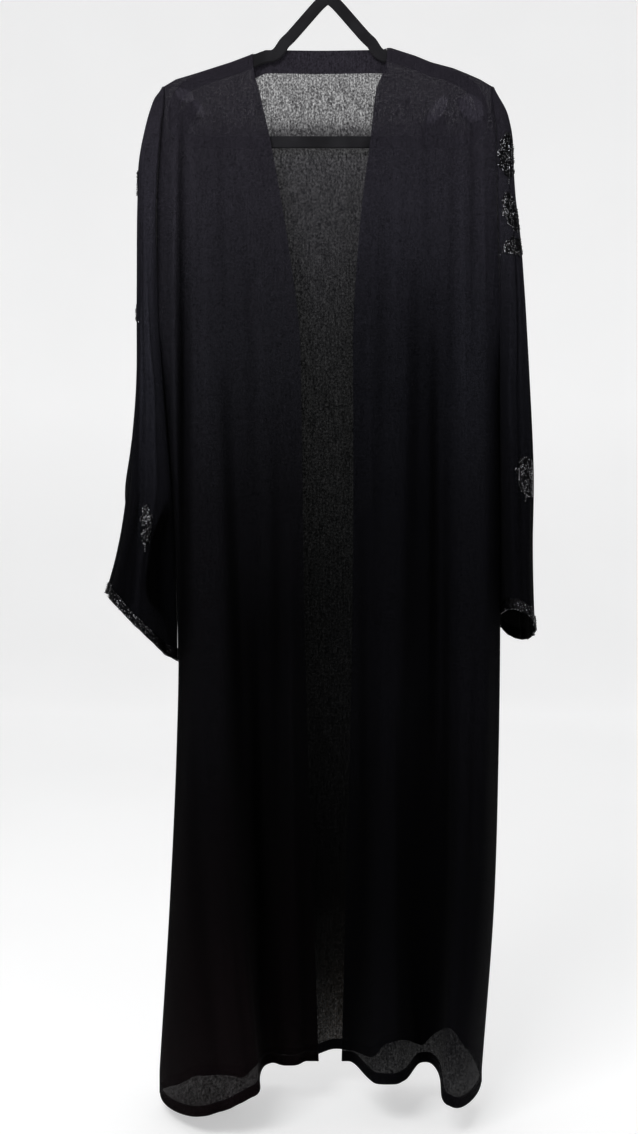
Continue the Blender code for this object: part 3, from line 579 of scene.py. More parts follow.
class AbayaStage(bpy.types.PropertyGroup):
    """Camera and lights."""

    camera_x: FloatProperty(
        name="Camera X",
        description="Sideways place of the camera",
        default=-0.0123, unit="LENGTH",
    )
    camera_z: FloatProperty(
        name="Camera height",
        description="Height of the camera in the part's frame",
        default=-0.841, unit="LENGTH",
    )
    distance: FloatProperty(
        name="Camera distance",
        description="Distance of the camera in front of the hanger",
        default=1.8, min=0.5, unit="LENGTH",
    )
    lens: FloatProperty(
        name="Lens",
        description="Focal length in millimetres, for a 36 mm sensor along the picture's height",
        default=41.7, min=10.0,
    )
    floor_gap: FloatProperty(
        name="Floor gap",
        description="Space between the lowest hem and the floor",
        default=0.012, min=0.0, unit="LENGTH",
    )
    light: FloatProperty(
        name="Light",
        description="Strength of the studio's soft lights, as a share of the usual one",
        default=1.0, min=0.0,
    )


def curve(rows, columns, name, at):
    """Value of a table's named column at `at`, on a smooth curve through the rows.

    Cubic pieces between neighbouring rows, each with the slope of its row's neighbours.
    """
    table = np.array(rows)[np.argsort([row[0] for row in rows])]
    keys = table[:, 0]
    values = table[:, columns.index(name)]
    slopes = np.gradient(values, keys)
    at = np.clip(at, keys[0], keys[-1])
    k = np.clip(np.searchsorted(keys, at) - 1, 0, len(keys) - 2)
    span = keys[k + 1] - keys[k]
    t = (at - keys[k]) / span
    start = (1 + 2 * t) * (1 - t) ** 2 * values[k] + t * (1 - t) ** 2 * span * slopes[k]
    end = t**2 * (3 - 2 * t) * values[k + 1] + t**2 * (t - 1) * span * slopes[k + 1]
    return start + end


def ease(value):
    """Smooth step from 0 to 1 as the value goes from 0 to 1."""
    value = np.clip(value, 0.0, 1.0)
    return value * value * (3 - 2 * value)


def shoulder_height(x):
    """Height of the shoulder line at x."""
    points = np.array(SHOULDER)
    return np.interp(x, points[:, 0], points[:, 1])


def bend_over_arm(drop):
    """0 on the shoulder line to 1 where the cloth has rounded the hanger's arm."""
    return np.sqrt(1 - (1 - np.clip(drop / ARM_ROUND, 0.0, 1.0)) ** 2)


def underarm_angle(z):
    """Half angle of the sleeve's section, open to the body above the underarm, closed below."""
    share = np.clip((TIP_Z - z) / (TIP_Z - UNDERARM_Z), 0.0, 1.0)
    return math.radians(90) * (1 + share**1.5)


def armhole_half_depth(side, z):
    """Half depth of the armhole at a height, and half a seam's gap where it has closed."""
    half = curve(SLEEVE_TABLE[side], SLEEVE_COLUMNS, "half_depth", z)
    opened = half * np.sin(underarm_angle(z)) * bend_over_arm(TIP_Z - z)
    return np.maximum(opened, SEAM / 2)


def side_line(side, z):
    """Distance from the middle plane to the armhole edge and, below it, to the side seam."""
    settled = ease((TIP_Z - z) / LINE_DROP)
    return TIP_X + (curve(BODY[side], BODY_COLUMNS, "side", z) - TIP_X) * settled


def sleeve_inner(side, z):
    """Distance from the middle plane to the middle of the sleeve's inner wall."""
    step = SLEEVE_TOP_STEP + (SLEEVE_STEP - SLEEVE_TOP_STEP) * ease((TIP_Z - z) / TURN_DROP)
    return side_line(side, z) + step


def fold_heights(folds, x, z):
    """Depth and sideways lean that a table of folds adds at x and z.

    Each fold is a raised cosine r across its width, rounded at the crest as r * (2 - r).
    """
    depth = np.zeros(np.broadcast(x, z).shape)
    lean = np.zeros_like(depth)
    for rows in folds:
        centre = curve(rows, FOLD_COLUMNS, "x", z)
        half = curve(rows, FOLD_COLUMNS, "half_width", z)
        across = np.clip((x - centre) / half, -1.0, 1.0)
        raised = 0.5 * (1 + np.cos(math.pi * across))
        crest = raised * (2 - raised)
        depth += crest * curve(rows, FOLD_COLUMNS, "depth", z)
        lean += crest**2 * curve(rows, FOLD_COLUMNS, "lean", z)
    return depth, lean


def crease_heights(creases, place, z):
    """Depth that a table of creases adds at a place and height.

    Across its straight line each crease is a raised cosine, and along it the root of a half sine,
    so that it swells out of the cloth at its top and dies away at its bottom.
    """
    total = np.zeros(np.broadcast(place, z).shape)
    for start, top, end, bottom, half_width, depth in creases:
        down = np.clip((top - z) / (top - bottom), 0.0, 1.0)
        across = np.clip((place - start - (end - start) * down) / half_width, -1.0, 1.0)
        total += depth * np.sqrt(np.sin(math.pi * down)) * 0.5 * (1 + np.cos(math.pi * across))
    return total


def slow_waves(place, z, phase):
    """Slight unevenness of hung cloth: three crossed sines of unlike lengths, mostly upright."""
    waves = np.sin(place * 61 + z * 5.0 + phase) + 0.7 * np.sin(place * 97 - z * 3.1 + 2 * phase)
    return 0.00045 * (waves + 0.6 * np.sin(place * 31 + z * 13 + 3 * phase))


def even_columns(points, count):
    """Divide each row of points into the same number of equal steps along its length.

    A fourth value beside x, y and z is carried along.
    """
    result = np.empty((points.shape[0], count, points.shape[2]))
    for index, row in enumerate(points):
        steps = np.linalg.norm(np.diff(row[:, :3], axis=0), axis=1)
        along = np.concatenate(([0.0], np.cumsum(steps)))
        targets = np.linspace(0.0, along[-1], count)
        for axis in range(points.shape[2]):
            result[index, :, axis] = np.interp(targets, along, row[:, axis])
    return result


def fold_tone(fold, crease, z):
    """How far a point stands out between the row's valleys at 0 and its highest crest at 1.

    Above the waist, where the cloth has no large folds, it goes over to an even tone. Creases
    raise or lower it everywhere. The tone is painted light and shade: lighter on crests and crease
    ridges, darker in valleys and crease troughs.
    """
    low = fold.min(axis=1, keepdims=True)
    high = fold.max(axis=1, keepdims=True)
    share = np.clip((fold - low) / (high - low + TONE_RELIEF), 0.0, 1.0)
    below = ease((TONE_START - z) / TONE_SPAN)
    tone = EVEN_TONE + (share**0.7 - EVEN_TONE) * below
    return tone + CREASE_TONE * np.clip(crease / CREASE_RELIEF, -1.4, 1.4)


def sleeve_tone(side, x, crease, z, front):
    """Tone of a sleeve: its creases, and on the wearer's right the lit face with its dark hollow.

    The lit face lies between two lines on the sleeve's front half. Beyond the second one the
    sleeve is folded into a hollow beside the body, which is painted dark as shade. On the wearer's
    left the sleeve is painted darker downwards as shade.
    """
    tone = EVEN_TONE + SLEEVE_CREASE_SHARE * crease / CREASE_RELIEF * CREASE_TONE
    if side == LEFT:
        return tone - SLEEVE_DARK * ease((SLEEVE_DARK_START - z) / SLEEVE_DARK_SPAN)
    lit = curve(RIGHT_SLEEVE_LIGHT, LIGHT_COLUMNS, "lit", z)
    face = curve(RIGHT_SLEEVE_LIGHT, LIGHT_COLUMNS, "face", z)
    hollow = curve(RIGHT_SLEEVE_LIGHT, LIGHT_COLUMNS, "hollow", z)
    on_face = ease((face - x) / LIGHT_EDGE) * front
    in_hollow = ease((hollow - x) / LIGHT_EDGE) * front * ease((HOLLOW_START - z) / LIGHT_FADE)
    seen = tone - BESIDE_FACE + (lit + BESIDE_FACE) * on_face
    return seen * (1 - in_hollow) + HOLLOW_TONE * in_hollow


def painted_show_through(side, x, z):
    """Brightness painted on a front's shoulder for the appliques behind it: speckled spindles."""
    total = np.zeros_like(x)
    waves = np.sin(x * SPECKS_ACROSS) * np.sin(z * SPECKS_DOWN + x * SPECKS_LEAN)
    specks = GLOW_MEAN + GLOW_SWING * waves
    for place_x, place_z, length, width, turn in SHOULDER_GLOW[side]:
        angle = math.radians(turn)
        right = (x - place_x) * math.cos(angle) + (z - place_z) * math.sin(angle)
        down = (z - place_z) * math.cos(angle) - (x - place_x) * math.sin(angle)
        reach = (2 * right / width) ** 2 + (2 * down / length) ** 2
        total = np.maximum(total, ease((1 - reach) / GLOW_EDGE))
    return GLOW_TONE * total * specks


def drops_below(length, rows, hem):
    """Distances of the rows below the shoulder line, for columns of the given lengths.

    The first rows crowd over the hanger's arm, and the last four lie in the hem.
    """
    upper_rows = rows // 6
    upper = UPPER_DROP * (np.arange(upper_rows) / upper_rows) ** 2.2
    upper = upper[:, None] * np.ones_like(length)
    shares = np.linspace(0.0, 1.0, rows - upper_rows - 4)[:, None]
    lower = UPPER_DROP + shares * (length - hem - UPPER_DROP)
    last = length - hem + hem * np.linspace(0.25, 1.0, 4)[:, None]
    return np.vstack((upper, lower, last))


def front_hem(side, x):
    """A front's hem level at x, lower towards the side seam and where a fold stands out."""
    depth, _lean = fold_heights(FRONT_FOLDS[side], x, np.full_like(x, HEM_Z))
    share = ease((np.abs(x) - HEM_SIDE_START) / (TIP_X - HEM_SIDE_START))
    return HEM_Z - HEM_FOLLOWS_FOLD * depth - HEM_SIDE_DROP[side] * share


def back_hem(x):
    """The back's hem level at x, from its table and lower where a fold stands out."""
    depth, _lean = fold_heights(BACK_FOLDS, x, np.full_like(x, HEM_Z))
    return curve(BACK_HEM, BACK_HEM_COLUMNS, "z", x) - HEM_FOLLOWS_FOLD * depth


def front_grid(side, hem, rows=232, columns=110, samples=900):
    """Middle points of one front, from its opening edge round to the side or the armhole.

    Down each column the cloth bends over the hanger's arm, then hangs at the table's depth, folds
    and creases. Across, the last share of the width turns back through a quarter ellipse.
    """
    across = np.linspace(0.0, 1.0, samples)
    flat = np.clip(across / (1 - CORNER_SHARE), 0.0, 1.0)
    angle = math.radians(90) * np.clip((across - 1 + CORNER_SHARE) / CORNER_SHARE, 0.0, 1.0)
    top_x = NECK_X[side] + (side * TIP_X - NECK_X[side]) * across
    top_z = shoulder_height(top_x)
    hem_side = side * curve(BODY[side], BODY_COLUMNS, "side", HEM_Z)
    hem_edge = side * curve(BODY[side], BODY_COLUMNS, "edge", HEM_Z)
    hem_z = front_hem(side, hem_edge + (hem_side - hem_edge) * across)
    drop = drops_below(top_z - hem_z, rows, hem)
    z = top_z - drop
    edge = curve(BODY[side], BODY_COLUMNS, "edge", z)
    turn_start = curve(BODY[side], BODY_COLUMNS, "side", z) - CORNER_RADIUS
    section_x = side * (edge + (turn_start - edge) * flat + CORNER_RADIUS * np.sin(angle))
    x = top_x + (section_x - top_x) * ease(drop / LINE_DROP)
    settled = ease(drop / SETTLE_DROP)
    fold, lean = fold_heights(FRONT_FOLDS[side], x, z)
    crease = crease_heights(FRONT_CREASES[side], x, z)
    # Painted light and shade of the folds, and painted light where the shoulder appliques lie behind
    tone = fold_tone(fold, crease, z) + painted_show_through(side, x, z)
    fold = fold + crease + slow_waves(x, z, side)
    depth = ARM_ROUND * bend_over_arm(drop)
    depth = depth + settled * (curve(DEPTH, DEPTH_COLUMNS, "front", z) + fold)
    end = np.minimum(armhole_half_depth(side, z), np.maximum(depth, SEAM / 2))
    facing = np.cos(angle * ease(drop / TURN_DROP))
    y = np.minimum(-(depth * facing + end * (1 - facing)), -SEAM / 2)
    grid = np.stack((x + lean * facing, y, z, tone), axis=-1)
    return even_columns(grid, columns)


def back_grid(hem, rows=232, columns=200, samples=1500):
    """Middle points of the back, from the wearer's right side across to the left.

    Like the fronts, with a turn at each side, and at the neck its edge hangs free behind the
    hanger instead of bending over it.
    """
    across = np.linspace(-1.0, 1.0, samples)
    flat = np.clip(across / (1 - CORNER_SHARE / 2), -1.0, 1.0)
    past = (np.abs(across) - 1 + CORNER_SHARE / 2) / (CORNER_SHARE / 2)
    angle = math.radians(90) * np.clip(past, 0.0, 1.0)
    top_x = TIP_X * across
    middle = (NECK_X[RIGHT] + NECK_X[LEFT]) / 2
    half_neck = (NECK_X[LEFT] - NECK_X[RIGHT]) / 2
    inside_neck = half_neck - np.abs(top_x - middle)
    dip = NECK_DIP * ease((inside_neck - NECK_FREE) / (half_neck - NECK_FREE))
    top_z = shoulder_height(top_x) - dip
    hem_sides = [curve(BODY[s], BODY_COLUMNS, "side", HEM_Z) for s in (RIGHT, LEFT)]
    hem_x = np.interp(across, (-1.0, 1.0), (-hem_sides[0], hem_sides[1]))
    drop = drops_below(top_z - back_hem(hem_x), rows, hem)
    z = top_z - drop
    right = -curve(BODY[RIGHT], BODY_COLUMNS, "side", z) + CORNER_RADIUS
    left = curve(BODY[LEFT], BODY_COLUMNS, "side", z) - CORNER_RADIUS
    section_x = right + (left - right) * (flat + 1) / 2
    section_x = section_x + np.sign(across) * CORNER_RADIUS * np.sin(angle)
    x = top_x + (section_x - top_x) * ease(drop / LINE_DROP)
    settled = ease(drop / SETTLE_DROP)
    fold, lean = fold_heights(BACK_FOLDS, x, z)
    crease = crease_heights(BACK_CREASES, x, z)
    tone = fold_tone(fold, crease, z)
    fold = fold + crease + slow_waves(x, z, 2.0)
    free = ease(inside_neck / NECK_FREE)
    bend = np.maximum(bend_over_arm(drop), free)
    depth = (ARM_ROUND + (NECK_BACK_Y - ARM_ROUND) * free) * bend
    depth = depth + settled * (curve(DEPTH, DEPTH_COLUMNS, "back", z) + fold)
    armhole = np.where(across < 0, armhole_half_depth(RIGHT, z), armhole_half_depth(LEFT, z))
    end = np.minimum(armhole, np.maximum(depth, SEAM / 2))
    facing = np.cos(angle * ease(drop / TURN_DROP))
    y = np.maximum(depth * facing + end * (1 - facing), SEAM / 2)
    grid = np.stack((x + lean * facing, y, z, tone), axis=-1)
    return even_columns(grid, columns)


def sleeve_points(side, round_share, down_share):
    """Middle points of a sleeve, as a function of two shares.

    round_share runs from -1 at the front edge over 0 at the outer side to 1 at the back edge,
    and down_share from 0 at the shoulder's end to 1 at the cuff. Each section is an ellipse that
    is open to the body down to the underarm and closed below it, pushed out at the front by the
    table's turn, with soft waves towards the cuff and creases along its outward direction.
    """
    cuff_z, outer_rise, front_rise = CUFF[side]
    full = math.pi * round_share
    bottom = cuff_z + outer_rise * np.cos(full) - front_rise * np.sin(full)
    top = TIP_Z - SLEEVE_TOP_DROP
    z = top + (bottom - top) * down_share
    table = SLEEVE_TABLE[side]
    half_depth = curve(table, SLEEVE_COLUMNS, "half_depth", z)
    outer = curve(table, SLEEVE_COLUMNS, "outer", z)
    turn = curve(table, SLEEVE_COLUMNS, "turn", z)
    opened = underarm_angle(z)
    widest = math.pi - np.arcsin(np.minimum(SEAM / half_depth, 0.9))
    angle = round_share * np.minimum(opened, widest)
    half_width = (outer - turn - sleeve_inner(side, z)) / (1 - np.cos(opened))
    middle = outer - turn - half_width
    below = ease((UNDERARM_Z - 0.03 - z) / 0.25)
    wave = 1 + SLEEVE_WAVE_SHARE * below * (np.cos(SLEEVE_WAVES * angle) - 1) / 2
    free = ease((TIP_Z - 0.02 - z) / 0.08) * (1 - np.abs(round_share) ** 6)
    crease = crease_heights(SLEEVE_CREASES[side], round_share, z)
    crease = free * (crease + slow_waves(round_share / 5, z, 4 * side))
    x = middle + (half_width * wave + crease) * np.cos(angle)
    x = x + turn * ease(-np.sin(angle) / TURN_DEPTH)
    bend = np.maximum(bend_over_arm(TIP_Z - z), 0.5)
    y = (half_depth * wave * bend + crease) * np.sin(angle)
    tone = sleeve_tone(side, x, crease, z, ease(-np.sin(angle) / TURN_DEPTH))
    return np.stack((side * x, y, z, tone), axis=-1)


def sleeve_grid(side, rows=150, columns=141):
    """Grid of a sleeve's middle points, closer together near the shoulder."""
    downs = np.linspace(0.0, 1.0, rows) ** 1.15
    across, down = np.meshgrid(np.linspace(-1.0, 1.0, columns), downs)
    return sleeve_points(side, across, down)


def outward_normals(points, facing):
    """Unit normals of a grid, from its differences along rows and columns."""
    along = np.gradient(points, axis=1)
    down = np.gradient(points, axis=0)
    normals = facing * np.cross(down, along)
    return normals / np.linalg.norm(normals, axis=-1, keepdims=True)


def panel(name, hem):
    """Middle points, outward normals and fold tones of the panel with this node name."""
    if name == "back":
        grid, facing = back_grid(hem), -1
    else:
        part, side_name = name.rsplit("_", 1)
        side = LEFT if side_name == "left" else RIGHT
        grid, facing = (front_grid(side, hem) if part == "front" else sleeve_grid(side)), side
    points = grid[..., :3]
    return points, outward_normals(points, facing), grid[..., 3]


def wall_faces(rows, columns):
    """Quads of a closed wall whose two layers of points follow each other, upper layer first."""
    index = np.arange(rows * columns).reshape(rows, columns)
    a, b = index[:-1, :-1].ravel(), index[:-1, 1:].ravel()
    c, d = index[1:, 1:].ravel(), index[1:, :-1].ravel()
    layer = np.stack((a, b, c, d), axis=1)
    other = layer[:, ::-1] + rows * columns
    loop = np.concatenate((index[0, :-1], index[:-1, -1], index[-1, :0:-1], index[:0:-1, 0]))
    following = np.roll(loop, -1)
    under = rows * columns
    rim = np.stack((following, loop, loop + under, following + under), axis=1)
    return np.concatenate((layer, other, rim))


def turned_outward(vertices, faces):
    """The faces, reversed if the closed shape that they make has a negative volume."""
    corners = vertices[faces]
    volume = np.sum(corners[:, 0] * np.cross(corners[:, 1], corners[:, 2]))
    return faces if volume > 0 else faces[:, ::-1]


def wall_part(points, normals, thickness, offset=0.0, stays=0):
    """Vertices and quads of a thin wall round a grid of middle points.

    The two layers lie half the thickness out and in along the normals. stays is -1 or +1 for a
    panel that ends at the shoulder and side seams, and keeps it on its side of y = 0.
    """
    layers = []
    for share in (0.5, -0.5):
        layer = points + normals * (offset + share * thickness)
        if stays:
            layer[..., 1] = stays * np.maximum(stays * layer[..., 1], SEAM / 2)
        layers.append(layer.reshape(-1, 3))
    vertices = np.concatenate(layers)
    return vertices, turned_outward(vertices, wall_faces(*points.shape[:2]))


def tube_part(path, radius, sides):
    """Vertices and quads of a round tube along a path, its ends drawn in to small rings.

    Each ring is a circle across the path's direction, turned from a fixed upright or sideways
    direction, so that the tube doesn't twist.
    """
    path = np.asarray(path, dtype=float)
    radius = np.broadcast_to(radius, len(path)).astype(float)
    tangents = np.gradient(path, axis=0)
    path = np.concatenate((path[:1], path, path[-1:]))
    tangents = np.concatenate((tangents[:1], tangents, tangents[-1:]))
    radius = np.concatenate(([radius[0] * TUBE_END], radius, [radius[-1] * TUBE_END]))
    tangents = tangents / np.linalg.norm(tangents, axis=1, keepdims=True)
    across = np.cross(tangents, (0.0, 1.0, 0.0))
    short = np.linalg.norm(across, axis=1) < 0.1
    across[short] = np.cross(tangents[short], (1.0, 0.0, 0.0))
    across = across / np.linalg.norm(across, axis=1, keepdims=True)
    other = np.cross(across, tangents)
    turn = 2 * math.pi * np.arange(sides) / sides
    cosine, sine = np.cos(turn)[None, :, None], np.sin(turn)[None, :, None]
    ring = cosine * across[:, None] + sine * other[:, None]
    vertices = (path[:, None] + radius[:, None, None] * ring).reshape(-1, 3)
    return vertices, turned_outward(vertices, ring_quads(len(path), sides, False))


def ring_quads(rings, sides, closed):
    """Quads between rings of points that follow each other."""
    index = np.arange(rings * sides).reshape(rings, sides)
    if closed:
        index = np.concatenate((index, index[:1]))
    a, b = index[:-1], np.roll(index[:-1], -1, axis=1)
    c, d = np.roll(index[1:], -1, axis=1), index[1:]
    return np.stack((a.ravel(), b.ravel(), c.ravel(), d.ravel()), axis=1)


def bead_template(sides=6):
    """Small round bead: two fans and two bands of a sphere's points, as vertices and triangles."""
    turn = 2 * math.pi * np.arange(sides) / sides
    rings = [(0.0, 0.0, 1.0)]
    for height in (0.5, -0.5):
        reach = math.sqrt(1 - height**2)
        ring = np.stack((reach * np.cos(turn), reach * np.sin(turn), np.full(sides, height)), axis=1)
        rings += [tuple(point) for point in ring]
    rings.append((0.0, 0.0, -1.0))
    here = np.arange(sides)
    beside = (here + 1) % sides
    upper, lower, last = 1 + here, 1 + sides + here, 1 + 2 * sides
    upper_beside, lower_beside = 1 + beside, 1 + sides + beside
    fan = np.stack((np.zeros(sides, int), upper, upper_beside), axis=1)
    band = np.stack((upper, lower, lower_beside), axis=1)
    band_other = np.stack((upper, lower_beside, upper_beside), axis=1)
    foot = np.stack((np.full(sides, last), lower_beside, lower), axis=1)
    return np.array(rings), np.concatenate((fan, band, band_other, foot))


def scatter_part(centres, alongs, normals, sizes):
    """Vertices and triangles of many beads or stitches.

    Each copy of the small bead has its own frame, from the direction along the work and the
    cloth's normal, and its own half sizes along, across and out.
    """
    points, triangles = bead_template()
    normals = normals / np.linalg.norm(normals, axis=1, keepdims=True)
    alongs = alongs - normals * np.sum(alongs * normals, axis=1, keepdims=True)
    alongs = alongs / np.linalg.norm(alongs, axis=1, keepdims=True)
    frames = np.stack((alongs, np.cross(normals, alongs), normals), axis=1)
    scaled = points[None] * sizes[:, None, :]
    vertices = centres[:, None] + np.einsum("nki,nij->nkj", scaled, frames)
    starts = len(points) * np.arange(len(centres))
    faces = (triangles[None] + starts[:, None, None]).reshape(-1, 3)
    return vertices.reshape(-1, 3), faces


def add_piece(name, parts, materials, replaced=(), tones=None):
    """One object from parts, each (vertices, faces, material index), riding on the part's body.

    tones gives each vertex of the whole piece a number from 0 to 1 for its material to read.
    """
    vertices = np.concatenate([part[0] for part in parts])
    starts = np.cumsum([0] + [len(part[0]) for part in parts])
    faces = [part[1] + start for part, start in zip(parts, starts)]
    corners = np.concatenate([group.ravel() for group in faces]).astype(np.int32)
    counts = np.concatenate([np.full(len(group), group.shape[1]) for group in faces])
    loop_starts = np.concatenate(([0], np.cumsum(counts)[:-1])).astype(np.int32)
    mesh = bpy.data.meshes.new(name)
    mesh.vertices.add(len(vertices))
    mesh.vertices.foreach_set("co", vertices.astype(np.float32).ravel())
    mesh.loops.add(len(corners))
    mesh.loops.foreach_set("vertex_index", corners)
    mesh.polygons.add(len(counts))
    mesh.polygons.foreach_set("loop_start", loop_starts)
    slots = np.concatenate([np.full(len(part[1]), part[2]) for part in parts]).astype(np.int32)
    mesh.polygons.foreach_set("material_index", slots)
    for material in materials:
        mesh.materials.append(material)
    mesh.update(calc_edges=True)
    if mesh.validate():
        raise RuntimeError(name + " has faulty faces")
    mesh.shade_smooth()
    mesh.set_sharp_from_angle(angle=math.radians(50))
    if tones is not None:
        attribute = mesh.attributes.new("tone", "FLOAT", "POINT")
        attribute.data.foreach_set("value", tones.astype(np.float32))
    piece = bpy.data.objects.new(name, mesh)
    bpy.context.scene.collection.objects.link(piece)
    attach(piece, "root")
    if replaced:
        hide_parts(*replaced)
    return piece


def spread_along(path, normals, pitch, shift=0.0):
    """Points, directions and normals at an even pitch along a path."""
    steps = np.linalg.norm(np.diff(path, axis=0), axis=1)
    along = np.concatenate(([0.0], np.cumsum(steps)))
    at = np.arange(pitch * (0.5 + shift), along[-1] - pitch * 0.3, pitch)
    points = np.stack([np.interp(at, along, path[:, k]) for k in range(3)], axis=1)
    ups = np.stack([np.interp(at, along, normals[:, k]) for k in range(3)], axis=1)
    ahead = np.stack([np.interp(at + pitch / 4, along, path[:, k]) for k in range(3)], axis=1)
    return points, ahead - points + 1e-9, ups


def stitches(path, normals, sizes, lift):
    """Row of stitches along a path on the cloth, lifted off its middle."""
    points, ahead, ups = spread_along(path, normals, sizes.stitch_pitch)
    half = np.array((sizes.stitch / 2, 0.00028, 0.00022))
    return scatter_part(points + ups * lift, ahead, ups, np.tile(half, (len(points), 1)))


def cloth_tones(parts, tone):
    """Tone of every vertex of a cloth piece whose first part is the panel's wall."""
    rest = sum(len(part[0]) for part in parts[1:])
    wall = tone.ravel()
    return np.concatenate((wall, wall, np.full(rest, EVEN_TONE)))


class Nodes:
    """A material's node tree, with short calls to add and join its nodes."""

    def __init__(self, name):
        self.material = bpy.data.materials.new(name)
        self.material.use_nodes = True
        self.tree = self.material.node_tree
        self.shader = self.tree.nodes["Principled BSDF"]

    def add(self, kind, **inputs):
        """New node of a kind, with its inputs given by name."""
        node = self.tree.nodes.new("ShaderNode" + kind)
        for key, value in inputs.items():
            node.inputs[key.replace("_", " ")].default_value = value
        return node

    def join(self, output, target):
        """Link an output to an input."""
        self.tree.links.new(output, target)

    def settings(self, **inputs):
        """Constant values on the shader's own sockets."""
        for key, value in inputs.items():
            self.shader.inputs[key.replace("_", " ")].default_value = value

    def noise(self, vector, scale, detail=2.0, roughness=0.5):
        """Noise on a vector output."""
        node = self.add("TexNoise", Scale=scale, Detail=detail, Roughness=roughness)
        self.join(vector, node.inputs["Vector"])
        return node.outputs["Fac"]

    def stretched(self, scale):
        """Object coordinates stretched along the axes."""
        coordinates = self.add("TexCoord")
        mapping = self.add("Mapping", Scale=scale)
        self.join(coordinates.outputs["Object"], mapping.inputs["Vector"])
        return mapping.outputs["Vector"]

    def ramp(self, factor, stops):
        """Colour ramp over stops of position and grey or colour."""
        node = self.add("ValToRGB")
        elements = node.color_ramp.elements
        while len(elements) < len(stops):
            elements.new(1.0)
        for element, (position, value) in zip(elements, stops):
            colour = value if hasattr(value, "__len__") else (value,) * 3
            element.position = position
            element.color = (*colour, 1.0)
        self.join(factor, node.inputs["Fac"])
        return node.outputs["Color"]

    def math(self, operation, first, second):
        """Arithmetic on two outputs or numbers."""
        node = self.add("Math")
        node.operation = operation
        for socket, value in zip(node.inputs, (first, second)):
            if isinstance(value, (int, float)):
                socket.default_value = value
            else:
                self.join(value, socket)
        return node.outputs[0]

    def multiplied(self, first, second):
        """Product of two colour outputs."""
        node = self.add("Mix")
        node.data_type = "RGBA"
        node.blend_type = "MULTIPLY"
        node.inputs["Factor"].default_value = 1.0
        self.join(first, node.inputs[6])
        self.join(second, node.inputs[7])
        return node.outputs[2]

    def height(self):
        """Share from 0 at the floor to 1 at the shoulder, from Object Z."""
        coordinates = self.add("TexCoord")
        split = self.add("SeparateXYZ")
        self.join(coordinates.outputs["Object"], split.inputs["Vector"])
        node = self.add("MapRange", From_Min=HEIGHT_FROM, From_Max=HEIGHT_TO)
        self.join(split.outputs["Z"], node.inputs["Value"])
        return node.outputs["Result"]

    def bump(self, height, strength, distance):
        """Bump from a height output into the shader's normal."""
        node = self.add("Bump", Strength=strength, Distance=distance)
        self.join(height, node.inputs["Height"])
        self.join(node.outputs["Normal"], self.shader.inputs["Normal"])


HEIGHT_FROM = -1.60
HEIGHT_TO = -0.10

# Share of the light that one layer lets through by height, which follows the photo's brightness
# The share changes with height as painted light and shade: high at the neck, low down the body and at
# the cuffs
BACK_SHEER = (
    (-1.56, 0.036), (-1.51, 0.028), (-1.477, 0.0110), (-1.408, 0.0025), (-1.30, 0.0006),
    (-1.16, 0.0012), (-1.02, 0.0022), (-0.89, 0.0026), (-0.75, 0.0056), (-0.61, 0.0085),
    (-0.52, 0.0105), (-0.41, 0.0150), (-0.34, 0.0200), (-0.292, 0.030), (-0.258, 0.045),
    (-0.241, 0.065), (-0.230, 0.170), (-0.216, 0.215), (-0.175, 0.250), (-0.13, 0.250),
)
FRONT_SHEER = (
    (-1.58, 0.030), (-1.52, 0.024), (-1.44, 0.006), (-1.20, 0.002), (-0.60, 0.004),
    (-0.34, 0.014), (-0.23, 0.030), (-0.13, 0.040),
)
SLEEVE_SHEER = (
    (-1.00, 0.0006), (-0.88, 0.0006), (-0.84, 0.008), (-0.60, 0.008), (-0.30, 0.015),
    (-0.13, 0.030),
)
# Light painted into the cloth by height, which falls off downwards in the photo
LIGHT_FALL = (
    (-1.60, 0.24), (-1.45, 0.19), (-1.30, 0.13), (-1.16, 0.14), (-1.02, 0.21), (-0.89, 0.21),
    (-0.75, 0.30), (-0.61, 0.56), (-0.48, 0.90), (-0.34, 1.50), (-0.20, 1.66), (-0.13, 1.80),
)
# Tints by height, as factors on the cloth's colour: violet above, reddish brown at the hem, which
# are painted tints of the light; on the back the large factors near the hem are painted light.
BACK_TINTS = (
    (-1.56, (4.60, 2.80, 1.00)), (-1.47, (3.40, 2.20, 0.90)), (-1.38, (1.40, 1.20, 0.90)),
    (-1.20, (1.00, 1.00, 1.00)), (-0.80, (0.92, 1.10, 1.02)), (-0.34, (1.00, 0.98, 1.05)),
    (-0.13, (1.00, 0.99, 1.06)),
)
CLOTH_TINTS = (
    (-1.56, (0.98, 0.98, 1.08)), (-0.60, (0.94, 1.00, 1.17)), (-0.13, (1.02, 0.96, 1.13)),
)
RIGHT_TINTS = (
    (-1.56, (1.40, 0.95, 0.95)), (-1.35, (1.26, 0.95, 0.97)), (-1.10, (1.00, 0.98, 1.05)),
    (-0.60, (0.96, 1.00, 1.12)), (-0.13, (1.02, 0.96, 1.13)),
)
# Painted brightness of cloth in a valley of the folds, and how much brighter a crest is
VALLEY_SHADE = 0.45
CREST_RISE = 0.85
GRAIN_SIZE = 0.0022
SPECK_SHARE = 4.4


def height_stops(rows, change):
    """Ramp stops from rows of height and value."""
    span = HEIGHT_TO - HEIGHT_FROM
    return [((z - HEIGHT_FROM) / span, change(value)) for z, value in sorted(rows)]


